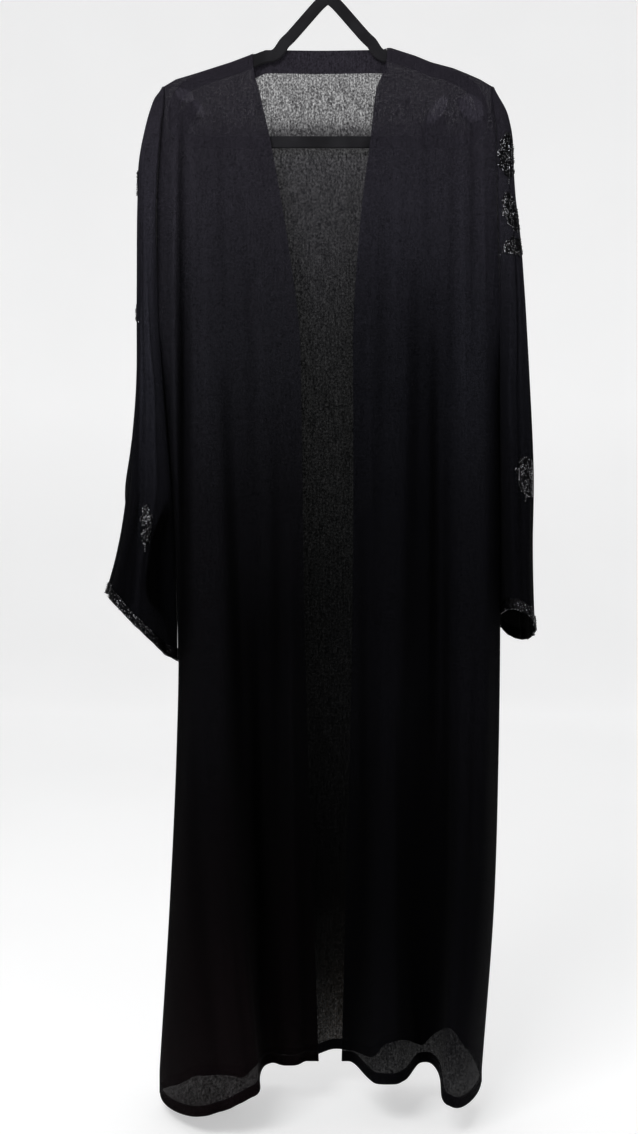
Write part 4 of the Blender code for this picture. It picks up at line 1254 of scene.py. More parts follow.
def crepe_material(name, colour, sheer, tints):
    """Black crepe georgette: pebbly grain with fine slubs, soft sheen, and light through it.

    The colour is the painted tint of the light by height, the painted fall of the light by height,
    the grain and the painted light and shade of the folds, multiplied. A panel is two faces, so each
    face lets the root of the layer's share of light through, and the grain opens and closes it.
    """
    nodes = Nodes(name)
    nodes.settings(Roughness=0.85, Specular_IOR_Level=0.01, Sheen_Weight=0.004, Sheen_Roughness=0.5)
    fine = nodes.noise(nodes.stretched((1.0, 1.0, 0.75)), 1 / GRAIN_SIZE, 2.0, 0.6)
    slubs = nodes.noise(nodes.stretched((1.0, 1.0, 0.06)), 620.0, 2.0, 0.6)
    grain = nodes.math("ADD", nodes.math("MULTIPLY", fine, 0.7), nodes.math("MULTIPLY", slubs, 0.3))
    height = nodes.height()
    bright = nodes.ramp(height, height_stops(LIGHT_FALL, float))
    pebbles = nodes.math("ADD", nodes.math("MULTIPLY", grain, 3.0), -0.50)
    bright = nodes.math("MULTIPLY", bright, pebbles)
    # Painted light and shade from the tone attribute: folds, lit faces, hollows and insides
    folds = nodes.add("Attribute")
    folds.attribute_name = "tone"
    shade = nodes.math("ADD", nodes.math("MULTIPLY", folds.outputs["Fac"], CREST_RISE), VALLEY_SHADE)
    bright = nodes.math("MULTIPLY", bright, shade)
    # Painted tint of the light by height
    tint = nodes.ramp(height, height_stops(tints, lambda k: [c * s for c, s in zip(colour, k)]))
    nodes.join(nodes.multiplied(tint, bright), nodes.shader.inputs["Base Color"])
    nodes.bump(grain, 0.35, 0.0004)
    if sheer:
        passed = nodes.ramp(height, height_stops(sheer, math.sqrt))
        specks = nodes.math("MULTIPLY", nodes.math("SUBTRACT", grain, 0.5), SPECK_SHARE)
        passed = nodes.math("MULTIPLY", passed, nodes.math("ADD", specks, 1.0))
        nodes.join(nodes.math("SUBTRACT", 1.0, passed), nodes.shader.inputs["Alpha"])
    return nodes.material


# Light painted on the beads by height, which falls off downwards in the photo
BEAD_SHADE = (
    (-1.00, 0.25), (-0.90, 0.45), (-0.76, 0.55), (-0.60, 0.60), (-0.35, 0.60), (-0.13, 0.70),
)


def net_material(colour):
    """Fine black net that carries the beads."""
    nodes = Nodes("bead_net")
    nodes.settings(Roughness=0.85, Specular_IOR_Level=0.05)
    cells = nodes.add("TexVoronoi", Scale=900.0)
    cells.feature = "DISTANCE_TO_EDGE"
    nodes.join(nodes.stretched((1.0, 1.0, 1.0)), cells.inputs["Vector"])
    shade = nodes.ramp(cells.outputs["Distance"], [(0.0, colour), (0.2, [c * 0.4 for c in colour])])
    nodes.join(shade, nodes.shader.inputs["Base Color"])
    nodes.bump(cells.outputs["Distance"], 0.4, 0.0003)
    return nodes.material


def bead_material(dark, bright):
    """Glass beads: mostly black, some gunmetal, some silver lined, by each bead's own tone."""
    nodes = Nodes("glass_beads")
    nodes.settings(Metallic=1.0)
    tone = nodes.add("Attribute")
    tone.attribute_name = "tone"
    middle = [0.25 * b + 0.75 * d for b, d in zip(bright, dark)]
    stops = [(0.0, dark), (0.50, dark), (0.56, middle), (0.72, middle), (0.76, bright)]
    shade = nodes.ramp(tone.outputs["Fac"], stops)
    # Painted light on the beads by height, darker downwards
    height = nodes.ramp(nodes.height(), height_stops(BEAD_SHADE, float))
    nodes.join(nodes.multiplied(shade, height), nodes.shader.inputs["Base Color"])
    facets = nodes.noise(nodes.stretched((1.0, 1.0, 1.0)), 700.0, 1.0)
    nodes.join(nodes.math("MULTIPLY", facets, 0.4), nodes.shader.inputs["Roughness"])
    nodes.bump(facets, 0.3, 0.0003)
    return nodes.material


def thread_material(colour):
    """Black thread with its twist."""
    nodes = Nodes("sewing_thread")
    nodes.settings(Roughness=0.7, Specular_IOR_Level=0.1, Sheen_Weight=0.01)
    twist = nodes.noise(nodes.stretched((1.0, 1.0, 1.0)), 2600.0, 1.0)
    shade = nodes.ramp(twist, [(0.35, [c * 0.7 for c in colour]), (0.65, [c * 1.6 for c in colour])])
    nodes.join(shade, nodes.shader.inputs["Base Color"])
    nodes.bump(twist, 0.4, 0.0002)
    return nodes.material


def flock_material(colour):
    """Short velvety fibres, rubbed paler along the hanger here and there."""
    nodes = Nodes("black_flock")
    nodes.settings(Roughness=0.95, Specular_IOR_Level=0.05, Sheen_Weight=0.03)
    fibres = nodes.noise(nodes.stretched((1.0, 1.0, 1.0)), 2400.0, 2.0, 0.7)
    worn = nodes.noise(nodes.stretched((1.0, 1.0, 1.0)), 26.0, 3.0)
    blend = nodes.math("ADD", nodes.math("MULTIPLY", fibres, 0.6), nodes.math("MULTIPLY", worn, 0.4))
    shade = nodes.ramp(blend, [(0.35, [c * 0.6 for c in colour]), (0.68, [c * 2.2 for c in colour])])
    nodes.join(shade, nodes.shader.inputs["Base Color"])
    nodes.bump(fibres, 0.5, 0.0004)
    return nodes.material


def steel_material(colour):
    """Plated wire with faint drawing lines and a few dull patches."""
    nodes = Nodes("plated_steel")
    nodes.settings(Metallic=1.0)
    lines = nodes.noise(nodes.stretched((1.0, 6.0, 1.0)), 420.0, 2.0)
    dull = nodes.noise(nodes.stretched((1.0, 1.0, 1.0)), 60.0, 2.0)
    shade = nodes.ramp(dull, [(0.3, [c * 0.8 for c in colour]), (0.7, colour)])
    nodes.join(shade, nodes.shader.inputs["Base Color"])
    rough = nodes.math("ADD", nodes.math("MULTIPLY", lines, 0.22), 0.10)
    nodes.join(rough, nodes.shader.inputs["Roughness"])
    nodes.bump(lines, 0.08, 0.0002)
    return nodes.material


def stage_material(colour):
    """Matt pale paper, faintly uneven, that also gives back some even light of its own."""
    nodes = Nodes("pale_paper")
    nodes.settings(Roughness=0.9, Specular_IOR_Level=0.1)
    uneven = nodes.noise(nodes.stretched((1.0, 1.0, 1.0)), 1.5, 2.0)
    shade = nodes.ramp(uneven, [(0.3, [c * 0.985 for c in colour]), (0.7, colour)])
    nodes.join(shade, nodes.shader.inputs["Base Color"])
    nodes.settings(Emission_Strength=STAGE_GLOW)
    nodes.join(shade, nodes.shader.inputs["Emission Color"])
    return nodes.material


def shared_material(name, make):
    """The material of this name, made when it is first asked for."""
    found = bpy.data.materials.get(name)
    return found if found else make()


def opaque_crepe(colours):
    """Crepe doubled in a hem or facing, which lets no light through."""
    return shared_material(
        "crepe_doubled",
        lambda: crepe_material("crepe_doubled", list(colours.cloth), None, CLOTH_TINTS),
    )


def thread(colours):
    """Thread of the stitches."""
    return shared_material("sewing_thread", lambda: thread_material(list(colours.cloth)))


def beads_and_net(colours):
    """Materials of an applique: its net and its beads."""
    net = shared_material("bead_net", lambda: net_material([0.5 * c for c in colours.cloth]))
    glass = shared_material(
        "glass_beads", lambda: bead_material(list(colours.dark_beads), list(colours.bright_beads))
    )
    return [net, glass]


class ABAYA_OT_back(bpy.types.Operator):
    """Hang the back: its sheer wall, turned hem and hem stitches"""

    bl_idname = "abaya.back"
    bl_label = "Back"

    def execute(self, context):
        scene = context.scene
        sizes, colours = scene.abaya_cloth, scene.abaya_colours
        points, normals, tone = panel("back", sizes.hem)
        sheer = crepe_material("crepe_back", list(colours.cloth), BACK_SHEER, BACK_TINTS)
        inside = -(sizes.wall + SEAM)
        parts = [
            (*wall_part(points, normals, sizes.wall, stays=1), 0),
            (*wall_part(points[-5:], normals[-5:], sizes.wall, inside), 1),
            (*stitches(points[-5], normals[-5], sizes, sizes.wall / 2), 2),
        ]
        materials = [sheer, opaque_crepe(colours), thread(colours)]
        piece = add_piece("back_cloth", parts, materials, ["back"], tones=cloth_tones(parts, tone))
        return {"FINISHED"}


class ABAYA_OT_fronts(bpy.types.Operator):
    """Hang both fronts: sheer walls, turned hems and their stitches"""

    bl_idname = "abaya.fronts"
    bl_label = "Fronts"

    def execute(self, context):
        scene = context.scene
        sizes, colours = scene.abaya_cloth, scene.abaya_colours
        inside = -(sizes.wall + SEAM)
        for side in (RIGHT, LEFT):
            name = "front_" + SIDE_NAMES[side]
            tints = RIGHT_TINTS if side == RIGHT else CLOTH_TINTS
            sheer = crepe_material("crepe_" + name, list(colours.cloth), FRONT_SHEER, tints)
            materials = [sheer, opaque_crepe(colours), thread(colours)]
            points, normals, tone = panel(name, sizes.hem)
            lift = sizes.wall / 2
            parts = [
                (*wall_part(points, normals, sizes.wall, stays=-1), 0),
                (*wall_part(points[-5:], normals[-5:], sizes.wall, inside), 1),
                (*stitches(points[-5], normals[-5], sizes, lift), 2),
            ]
            tones = cloth_tones(parts, tone)
            piece = add_piece(name + "_cloth", parts, materials, [name], tones=tones)
        return {"FINISHED"}


class ABAYA_OT_sleeves(bpy.types.Operator):
    """Hang both sleeves, wide tubes that are open to the body down to the underarm"""

    bl_idname = "abaya.sleeves"
    bl_label = "Sleeves"

    def execute(self, context):
        scene = context.scene
        sizes, colours = scene.abaya_cloth, scene.abaya_colours
        sheer = crepe_material("crepe_sleeve", list(colours.cloth), SLEEVE_SHEER, CLOTH_TINTS)
        for side in (RIGHT, LEFT):
            name = "sleeve_" + SIDE_NAMES[side]
            points, normals, tone = panel(name, sizes.hem)
            parts = [(*wall_part(points, normals, sizes.wall), 0)]
            tones = cloth_tones(parts, tone)
            # Painted shade: the sleeve's inner layer is painted black, as it shows in the cuff
            tones[tone.size:] = INSIDE_TONE
            piece = add_piece(name + "_cloth", parts, [sheer], [name], tones=tones)
        return {"FINISHED"}


class ABAYA_OT_facing(bpy.types.Operator):
    """Sew the opaque facing inside the back neck"""

    bl_idname = "abaya.facing"
    bl_label = "Neck facing"

    def execute(self, context):
        scene = context.scene
        sizes, colours = scene.abaya_cloth, scene.abaya_colours
        points, normals, _tone = panel("back", sizes.hem)
        top = points[0, :, 0]
        inside = (top > NECK_X[RIGHT] + FACING_SIDE) & (top < NECK_X[LEFT] - FACING_SIDE)
        columns = np.flatnonzero(inside)
        middle = points[:, points.shape[1] // 2, 2]
        rows = int(np.argmax(middle[0] - middle > sizes.facing)) + 1
        area = (slice(0, rows), slice(columns[0], columns[-1] + 1))
        patch, ups = points[area], normals[area]
        offset = -(sizes.wall + SEAM)
        parts = [
            (*wall_part(patch, ups, sizes.wall, offset), 0),
            (*stitches(patch[-2], ups[-2], sizes, offset - sizes.wall / 2), 1),
            (*stitches(patch[-2], ups[-2], sizes, sizes.wall / 2), 1),
        ]
        materials = [opaque_crepe(colours), thread(colours)]
        tones = cloth_tones(parts, np.full(patch.shape[:2], EVEN_TONE))
        piece = add_piece("neck_facing_cloth", parts, materials, ["neck_facing"], tones=tones)
        return {"FINISHED"}


class ABAYA_OT_seams(bpy.types.Operator):
    """Sew the raised seams of the shoulders, armholes, sides and sleeves"""

    bl_idname = "abaya.seams"
    bl_label = "Seams"

    def execute(self, context):
        scene = context.scene
        radius = scene.abaya_cloth.seam_radius
        for side in (RIGHT, LEFT):
            parts = [(*tube_part(path, radius, 6), 0) for path in seam_paths(side)]
            tones = np.full(sum(len(part[0]) for part in parts), SEAM_TONE)
            crepe = opaque_crepe(scene.abaya_colours)
            add_piece("seams_" + SIDE_NAMES[side], parts, [crepe], tones=tones)
        return {"FINISHED"}


def seam_paths(side):
    """Middle lines of one side's seams.

    Along the shoulder, down the front and back of the armhole, down the body's side, and down the
    sleeve's inner side.
    """
    shoulder_x = np.linspace(NECK_X[side], side * (TIP_X - 0.001), 90)
    shoulder = np.stack((shoulder_x, np.zeros(90), shoulder_height(shoulder_x)), axis=1)
    arm_z = np.linspace(TIP_Z - 0.0008, UNDERARM_Z, 160)
    arm_x = side * (side_line(side, arm_z) + sleeve_inner(side, arm_z)) / 2
    half = armhole_half_depth(side, arm_z)
    front = np.stack((arm_x, -half, arm_z), axis=1)
    back = np.stack((arm_x, half, arm_z), axis=1)
    hem_z = front_hem(side, side * curve(BODY[side], BODY_COLUMNS, "side", np.array([HEM_Z])))
    side_z = np.linspace(UNDERARM_Z, float(hem_z[0]) + 0.001, 200)
    side_x = side * side_line(side, side_z)
    body = np.stack((side_x, np.zeros(200), side_z), axis=1)
    cuff_z = CUFF[side][0] - CUFF[side][1]
    sleeve_z = np.linspace(UNDERARM_Z, cuff_z + 0.001, 120)
    sleeve_x = side * sleeve_inner(side, sleeve_z)
    sleeve = np.stack((sleeve_x, np.zeros(120), sleeve_z), axis=1)
    return [shoulder, front, back, body, sleeve]


def bead_sizes(count, diameter, random):
    """Half sizes of beads, a little unlike each other and slightly flattened."""
    scale = random.uniform(0.82, 1.12, (count, 1)) * diameter / 2
    return scale * np.array((1.0, 1.0, 0.86)) * random.uniform(0.92, 1.08, (count, 3))


def bead_tones(tones):
    """Tone of every vertex of the beads, from the tone of each bead."""
    return np.repeat(tones, len(bead_template()[0]))


class ABAYA_OT_cuffs(bpy.types.Operator):
    """Sew the bead border round each cuff"""

    bl_idname = "abaya.cuffs"
    bl_label = "Cuff beads"

    def execute(self, context):
        scene = context.scene
        sizes, beads = scene.abaya_cloth, scene.abaya_beads
        random = np.random.default_rng(beads.seed)
        for side in (RIGHT, LEFT):
            parts, tones = cuff_parts(side, sizes, beads, random)
            name = "cuff_trim_" + SIDE_NAMES[side]
            materials = beads_and_net(scene.abaya_colours)
            add_piece(name + "_beads", parts, materials, [name], tones)
        return {"FINISHED"}


def cuff_parts(side, sizes, beads, random):
    """Net band and staggered rows of beads round one cuff."""
    length = TIP_Z - CUFF[side][0]
    share = CUFF_TRIM_HEIGHT / length
    across, down = np.meshgrid(np.linspace(-1, 1, 161), np.linspace(1 - share, 1, 5))
    band = sleeve_points(side, across, down)[..., :3]
    ups = outward_normals(band, side)
    lift = sizes.wall / 2 + SEAM + NET_GAP
    vertices, faces = wall_part(band, ups, NET, lift)
    parts = [(vertices, faces, 0)]
    tones = [np.zeros(len(vertices))]
    rows = int(CUFF_TRIM_HEIGHT / beads.spacing)
    for row, level in enumerate(np.linspace(0.02, 0.98, rows)):
        at = level * (len(band) - 1)
        low = min(int(at), len(band) - 2)
        path = band[low] + (band[low + 1] - band[low]) * (at - low)
        points, ahead, out = spread_along(path, ups[low], beads.spacing, 0.5 * (row % 2))
        jitter = random.normal(0.0, 0.00025, points.shape)
        raised = lift + NET / 2 + beads.bead * BEAD_RAISED
        half = bead_sizes(len(points), beads.bead, random)
        tone = random.uniform(0.0, 0.97, len(points))
        centres = points + out * raised + jitter
        parts.append((*scatter_part(centres, ahead, out, half), 1))
        tones.append(bead_tones(tone))
    return parts, np.concatenate(tones)


class ABAYA_OT_leaves(bpy.types.Operator):
    """Sew the beaded leaf appliques on the sleeves and behind the shoulders"""

    bl_idname = "abaya.leaves"
    bl_label = "Leaf appliques"

    def execute(self, context):
        scene = context.scene
        sizes, beads = scene.abaya_cloth, scene.abaya_beads
        random = np.random.default_rng(beads.seed + 1)
        panels = {}
        for name, cloth, length, width, turn, lobes in LEAVES:
            if cloth not in panels:
                panels[cloth] = panel(cloth, sizes.hem)
            place = leaf_placer(panels[cloth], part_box(name), math.radians(turn))
            parts, tones = leaf_parts(place, length, width, lobes, sizes, beads, random)
            materials = beads_and_net(scene.abaya_colours)
            add_piece(name + "_beads", parts, materials, [name], tones)
        return {"FINISHED"}


def leaf_placer(cloth, box, turn):
    """Function from a leaf's own sideways and downward metres to points and normals on a panel.

    The panel's grid point nearest the middle of the node's box is the leaf's middle, and the
    grid's steps there, turned by the leaf's angle, give its two directions.
    """
    points, normals, _tone = cloth
    middle = (np.array(box[0]) + np.array(box[1])) / 2
    distance = np.linalg.norm(points - middle, axis=2)
    row, column = np.unravel_index(np.argmin(distance), distance.shape)
    row = int(np.clip(row, 6, points.shape[0] - 7))
    column = int(np.clip(column, 3, points.shape[1] - 4))
    row_step = np.linalg.norm(points[row + 6, column] - points[row - 6, column]) / 12
    column_step = np.linalg.norm(points[row, column + 3] - points[row, column - 3]) / 6

    def place(right, down):
        columns = column + (right * math.cos(turn) - down * math.sin(turn)) / column_step
        rows = row + (right * math.sin(turn) + down * math.cos(turn)) / row_step
        return sample_grid(points, rows, columns), sample_grid(normals, rows, columns)

    return place


def sample_grid(grid, rows, columns):
    """Values between a grid's own points, at fractional rows and columns."""
    rows = np.clip(rows, 0.0, grid.shape[0] - 1.001)
    columns = np.clip(columns, 0.0, grid.shape[1] - 1.001)
    row, column = rows.astype(int), columns.astype(int)
    down, along = (rows - row)[..., None], (columns - column)[..., None]
    above = grid[row, column] * (1 - along) + grid[row, column + 1] * along
    below = grid[row + 1, column] * (1 - along) + grid[row + 1, column + 1] * along
    return above * (1 - down) + below * down


def leaf_half_width(share, width, lobes):
    """Half width at a share of a leaf's length: a rounded spindle with soft lobes."""
    body = np.clip(np.sin(math.pi * share), 0.0, 1.0) ** 0.62
    return width / 2 * body * (0.86 + 0.14 * np.cos(2 * math.pi * lobes * (share - 0.5)))


def leaf_parts(place, length, width, lobes, sizes, beads, random):
    """One leaf's net, its beads in rows, its edging of larger beads and its bright stem."""
    share = np.linspace(0.01, 0.99, 25)
    across, down = np.meshgrid(np.linspace(-1, 1, 11), share)
    right = across * leaf_half_width(down, width, lobes)
    points, ups = place(right, (down - 0.5) * length)
    lift = sizes.wall / 2 + SEAM + NET_GAP
    vertices, faces = wall_part(points, ups, NET, lift)
    parts = [(vertices, faces, 0)]
    tones = [np.zeros(len(vertices))]
    for places, diameter, low, high in leaf_beads(length, width, lobes, beads, random):
        centres, out = place(places[:, 0], places[:, 1])
        ahead, _out = place(places[:, 0], places[:, 1] + 0.001)
        half = bead_sizes(len(centres), diameter, random)
        centres = centres + out * (lift + NET / 2 + diameter * BEAD_RAISED)
        parts.append((*scatter_part(centres, ahead - centres, out, half), 1))
        tones.append(bead_tones(random.uniform(low, high, len(centres))))
    return parts, np.concatenate(tones)


def leaf_beads(length, width, lobes, beads, random):
    """Places on one leaf, with diameter and tones: staggered fill, edging, midrib and stem."""
    pitch = beads.spacing
    rows = np.arange(-length / 2, length / 2, pitch * 0.87)
    columns = np.arange(-width / 2, width / 2 + pitch, pitch)
    x, y = np.meshgrid(columns, rows)
    x = x + pitch / 2 * (np.arange(len(rows)) % 2)[:, None]
    fill = np.stack((x.ravel(), y.ravel()), axis=1)
    fill = fill + random.normal(0.0, pitch * 0.10, fill.shape)
    half = leaf_half_width(fill[:, 1] / length + 0.5, width, lobes)
    keep = (np.abs(fill[:, 0]) < half - pitch * 0.8) & (np.abs(fill[:, 0]) > pitch * 0.6)
    share = np.linspace(0.03, 0.97, max(8, int(1.15 * length / pitch)))
    edge = leaf_half_width(share, width, lobes)
    down = (share - 0.5) * length
    edging = np.concatenate((np.stack((edge, down), 1), np.stack((-edge, down), 1)))
    rib = np.linspace(-0.44 * length, 0.45 * length, int(0.89 * length / pitch))
    midrib = np.stack((0.02 * width * np.sin(rib * 90), rib), axis=1)
    tail = np.linspace(0.46 * length, 0.62 * length, int(0.16 * length / (pitch * 0.85)))
    stem = np.stack((0.02 * width * np.sin(tail * 90), tail), axis=1)
    return (
        (fill[keep], beads.bead * 0.94, 0.0, 1.0),
        (edging, beads.bead * 1.04, 0.0, 1.0),
        (midrib, beads.bead, 0.0, 1.0),
        (stem, beads.bead * 1.10, 0.6, 1.0),
    )


def hanger_loop():
    """Hanger's outer loop in the XZ plane, evenly spaced, with rounded corners.

    Averaging each point with its neighbours rounds the corners and leaves straight runs alone,
    and the loop is kept under the cloth.
    """
    corners = [(0.0, APEX_Z)]
    for side in (LEFT, RIGHT):
        xs = [side * x for x in HANGER_ARM_X]
        arm = [(side * NECK_BEND_X, NECK_BEND_Z)]
        arm += [(x, float(shoulder_height(x)) - HANGER_UNDER_CLOTH) for x in xs]
        arm.append((side * HANGER_END_X, HANGER_END_Z))
        arm.append((side * HANGER_END_X, BAR_BOTTOM_Z + BAR_CORNER))
        arm.append((side * (HANGER_END_X - BAR_CORNER), BAR_BOTTOM_Z))
        corners += arm if side == LEFT else arm[::-1]
    outline = np.array(corners + corners[:1])
    steps = np.linalg.norm(np.diff(outline, axis=0), axis=1)
    along = np.concatenate(([0.0], np.cumsum(steps)))
    targets = np.linspace(0.0, along[-1], int(along[-1] / HANGER_SPACING), endpoint=False)
    loop = np.stack([np.interp(targets, along, outline[:, axis]) for axis in (0, 1)], axis=1)
    for _pass in range(HANGER_SMOOTHING):
        loop = (np.roll(loop, 1, axis=0) + 2 * loop + np.roll(loop, -1, axis=0)) / 4
    x = loop[:, 0]
    chord = (shoulder_height(x - FACET_REACH) + shoulder_height(x + FACET_REACH)) / 2
    under_cloth = np.minimum(shoulder_height(x), chord) - HANGER_UNDER_CLOTH
    covered = np.abs(x) > NECK_BEND_X
    loop[covered, 1] = np.minimum(loop[covered, 1], under_cloth[covered])
    return closed_spline(loop, 4)


def closed_spline(points, steps):
    """Smooth closed curve through points: cubic spans whose slopes follow the neighbours."""
    before, after = np.roll(points, 1, axis=0), np.roll(points, -1, axis=0)
    slopes = (after - before) / 2
    next_slopes = np.roll(slopes, -1, axis=0)
    t = (np.arange(steps) / steps)[None, :, None]
    start = (1 + 2 * t) * (1 - t) ** 2 * points[:, None] + t * (1 - t) ** 2 * slopes[:, None]
    end = t**2 * (3 - 2 * t) * after[:, None] + t**2 * (t - 1) * next_slopes[:, None]
    return (start + end).reshape(-1, points.shape[1])


class ABAYA_OT_hanger(bpy.types.Operator):
    """Make the slim flocked hanger and its wire hook"""

    bl_idname = "abaya.hanger"
    bl_label = "Hanger"

    def execute(self, context):
        colours = context.scene.abaya_colours
        flock = flock_material(list(colours.flock))
        steel = steel_material(list(colours.steel))
        vertices, faces = hanger_part()
        add_piece("hanger_flocked", [(vertices, faces, 0)], [flock], ["hanger_body"])
        hook = hook_part(float(vertices[:, 2].max()))
        add_piece("hook_wire", [(*hook, 0)], [steel], ["hanger_hook"])
        return {"FINISHED"}


def hanger_part():
    """Flat band with rounded edges swept round the hanger's loop.

    The section is a rounded rectangle across the loop's inward direction.
    """
    loop = hanger_loop()
    tangents = np.roll(loop, -1, axis=0) - np.roll(loop, 1, axis=0)
    tangents /= np.linalg.norm(tangents, axis=1, keepdims=True)
    inward = np.stack((tangents[:, 1], -tangents[:, 0]), axis=1)
    half = HANGER_THICK / 2
    turn = np.linspace(0.0, math.radians(90), 4)
    corner = np.stack((HANGER_EDGE * (1 - np.cos(turn)), half - HANGER_EDGE * (1 - np.sin(turn))), 1)
    far = np.stack((BAND - corner[::-1, 0], corner[::-1, 1]), axis=1)
    section = np.concatenate((corner, far, far[::-1] * (1, -1), corner[::-1] * (1, -1)))
    moved = loop[:, None] + inward[:, None] * section[None, :, :1]
    depth = np.broadcast_to(section[None, :, 1], moved.shape[:2])
    vertices = np.stack((moved[..., 0], depth, moved[..., 1]), axis=2).reshape(-1, 3)
    return vertices, turned_outward(vertices, ring_quads(len(loop), len(section), True))


def hook_part(seat_z):
    """Wire hook with its ferrule: one round section along a path with changing radius."""
    centre_z = HOOK_WIRE - HOOK_RADIUS
    foot = seat_z + SEAM
    top = foot + FERRULE_HEIGHT
    stem_top = centre_z - HOOK_RADIUS - 0.002
    stem = [
        (foot, FERRULE_RADIUS * 0.80),
        (foot + 0.0006, FERRULE_RADIUS * 0.96),
        (foot + 0.0014, FERRULE_RADIUS),
        (top - 0.0034, FERRULE_RADIUS),
        (top - 0.0030, FERRULE_RADIUS * 0.90),
        (top - 0.0024, FERRULE_RADIUS * 0.90),
        (top - 0.0020, FERRULE_RADIUS),
        (top - 0.0006, FERRULE_RADIUS * 0.94),
        (top - 0.0001, FERRULE_RADIUS * 0.70),
        (top, HOOK_WIRE),
        ((top + stem_top) / 2, HOOK_WIRE),
    ]
    angle = np.radians(np.linspace(HOOK_START_ANGLE, HOOK_END_ANGLE, 96))
    bow_x = HOOK_RADIUS * np.cos(angle)
    bow_z = centre_z + HOOK_RADIUS * np.sin(angle)
    start = np.array([(0.0, 0.0, z) for z, _radius in stem])
    bow = np.stack((bow_x, np.zeros_like(bow_x), bow_z), axis=1)
    blend = np.linspace(0.0, 1.0, 9)[1:-1, None]
    middle = start[-1] + (bow[0] - start[-1]) * blend
    middle[:, 0] = bow[0, 0] * ease(blend[:, 0])
    path = np.concatenate((start, middle, bow))
    radii = np.concatenate(([radius for _z, radius in stem], np.full(len(path) - len(stem), HOOK_WIRE)))
    radii[-3:] = HOOK_WIRE * np.array((0.98, 0.85, 0.55))
    return tube_part(path, radii, 20)


class ABAYA_OT_stage(bpy.types.Operator):
    """Lay the pale floor and backdrop, and set the soft lights and the camera"""

    bl_idname = "abaya.stage"
    bl_label = "Stage"

    def execute(self, context):
        scene = context.scene
        stage = scene.abaya_stage
        floor_z = float(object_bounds()[0][2]) - stage.floor_gap
        add_floor(floor_z, stage_material(list(scene.abaya_colours.stage)))
        add_lights(stage.light)
        add_camera(scene, stage)
        set_world(scene, stage.light)
        scene.view_settings.view_transform = "Standard"
        return {"FINISHED"}


def add_floor(floor_z, material):
    """Sheet of paper: flat floor, quarter-circle rise and upright back, along a width."""
    turn = np.radians(np.linspace(-90, 0, 25))
    rise_y = SWEEP_BACK - SWEEP_RADIUS + SWEEP_RADIUS * np.cos(turn)
    rise_z = floor_z + SWEEP_RADIUS * (1 + np.sin(turn))
    rise = np.stack((rise_y, rise_z), axis=1)
    ends = [(SWEEP_FRONT, floor_z)], [(SWEEP_BACK, floor_z + SWEEP_HEIGHT)]
    profile = np.concatenate((ends[0], rise, ends[1]))
    xs = np.linspace(-SWEEP_HALF_WIDTH, SWEEP_HALF_WIDTH, 19)
    grid = np.empty((len(profile), len(xs), 3))
    grid[..., 0] = xs[None]
    grid[..., 1:] = profile[:, None]
    index = np.arange(grid.shape[0] * grid.shape[1]).reshape(grid.shape[:2])
    faces = np.stack((index[:-1, :-1], index[:-1, 1:], index[1:, 1:], index[1:, :-1]), axis=-1)
    mesh = bpy.data.meshes.new("paper_sweep")
    mesh.from_pydata(grid.reshape(-1, 3).tolist(), [], faces.reshape(-1, 4).tolist())
    mesh.materials.append(material)
    mesh.shade_smooth()
    paper = bpy.data.objects.new("paper_sweep", mesh)
    bpy.context.scene.collection.objects.link(paper)
    paper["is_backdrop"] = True


# Lights: name, place, point aimed at, width, height, strength
LIGHTS = (
    ("key_light", (-0.9, -1.7, 0.8), (0.0, 0.0, -0.4), 1.4, 1.0, 36.0),
    ("fill_light", (1.6, -2.2, 0.2), (0.0, 0.0, -0.7), 1.6, 1.8, 6.0),
    ("top_light", (0.0, 0.6, 1.6), (0.0, 0.3, -0.4), 2.4, 1.6, 12.0),
)
WORLD_STRENGTH = 0.34
STAGE_GLOW = 0.60

# Paper sweep: radius of its rise, place of its back and front edge, half width, height of its back
SWEEP_RADIUS = 1.8
SWEEP_BACK = 6.6
SWEEP_FRONT = -6.0
SWEEP_HALF_WIDTH = 9.0
SWEEP_HEIGHT = 7.0


def add_lights(share):
    """Large soft area lights, mostly from above and in front."""
    for name, place, target, width, height, strength in LIGHTS:
        data = bpy.data.lights.new(name, "AREA")
        data.shape = "RECTANGLE"
        data.size = width
        data.size_y = height
        data.energy = strength * share
        lamp = bpy.data.objects.new(name, data)
        lamp.location = place
        aim = np.array(place) - np.array(target)
        flat = math.hypot(aim[0], aim[1])
        lamp.rotation_euler = (math.atan2(flat, aim[2]), 0.0, math.atan2(aim[0], -aim[1]))
        bpy.context.scene.collection.objects.link(lamp)


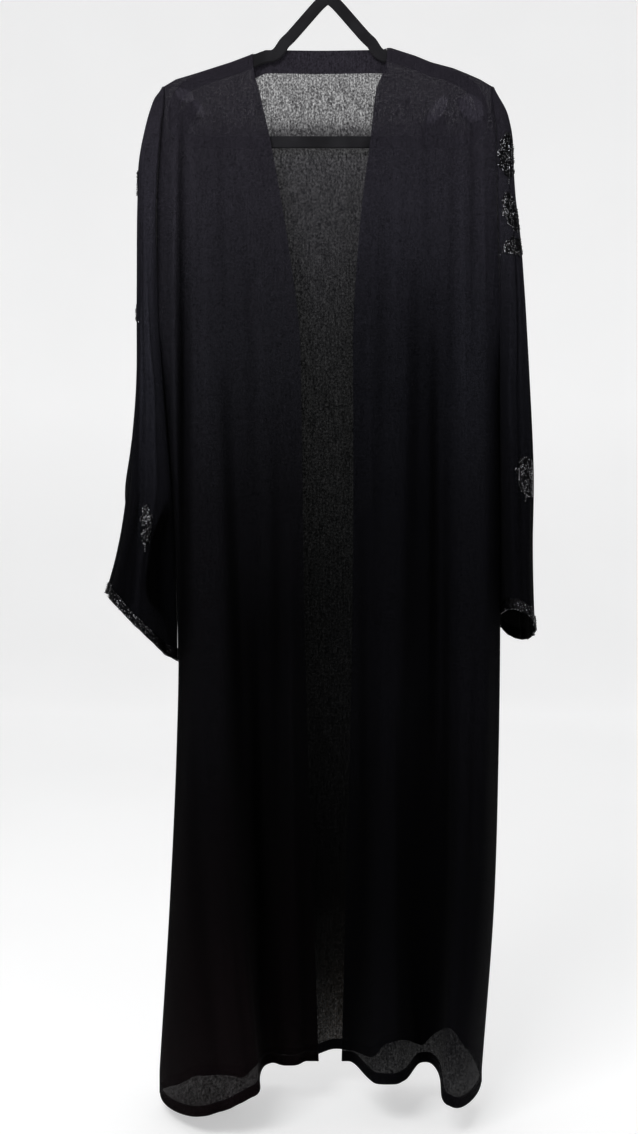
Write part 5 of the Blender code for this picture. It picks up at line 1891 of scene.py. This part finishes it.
def set_world(scene, share):
    """Even pale light from all round."""
    world = bpy.data.worlds.new("studio")
    world.use_nodes = True
    background = world.node_tree.nodes["Background"]
    background.inputs["Color"].default_value = (1.0, 1.0, 1.0, 1.0)
    background.inputs["Strength"].default_value = WORLD_STRENGTH * share
    scene.world = world


def add_camera(scene, stage):
    """Level camera in front of the hanger, as high as the middle of the garment."""
    data = bpy.data.cameras.new("camera")
    data.lens = stage.lens
    data.sensor_width = 36.0
    camera = bpy.data.objects.new("camera", data)
    camera.location = (stage.camera_x, -stage.distance, stage.camera_z)
    camera.rotation_euler = (math.radians(90), 0.0, 0.0)
    scene.collection.objects.link(camera)
    scene.camera = camera


OPERATORS = (
    ABAYA_OT_back,
    ABAYA_OT_fronts,
    ABAYA_OT_sleeves,
    ABAYA_OT_facing,
    ABAYA_OT_seams,
    ABAYA_OT_cuffs,
    ABAYA_OT_leaves,
    ABAYA_OT_hanger,
    ABAYA_OT_stage,
)


class ABAYA_PT_panel(bpy.types.Panel):
    """Sidebar tab with the sizes and a button for each group of pieces"""

    bl_idname = "ABAYA_PT_panel"
    bl_label = "Abaya"
    bl_space_type = "VIEW_3D"
    bl_region_type = "UI"
    bl_category = "Abaya"

    def draw(self, context):
        layout = self.layout
        for group in GROUPS:
            box = layout.box()
            for name in GROUPS[group].__annotations__:
                box.prop(getattr(context.scene, group), name)
        for operator in OPERATORS:
            layout.operator(operator.bl_idname)


GROUPS = {
    "abaya_cloth": AbayaCloth,
    "abaya_beads": AbayaBeads,
    "abaya_colours": AbayaColours,
    "abaya_stage": AbayaStage,
}
CLASSES = (*GROUPS.values(), *OPERATORS, ABAYA_PT_panel)


def register():
    """Register the classes and hang their settings on the scene."""
    for item in CLASSES:
        bpy.utils.register_class(item)
    for name, group in GROUPS.items():
        setattr(bpy.types.Scene, name, PointerProperty(type=group))


def unregister():
    """Take the settings and classes away again."""
    for name in GROUPS:
        delattr(bpy.types.Scene, name)
    for item in reversed(CLASSES):
        bpy.utils.unregister_class(item)


def main():
    """Make every piece in order."""
    register()
    for operator in OPERATORS:
        group, name = operator.bl_idname.split(".")
        getattr(getattr(bpy.ops, group), name)()


if __name__ == "__main__":
    main()
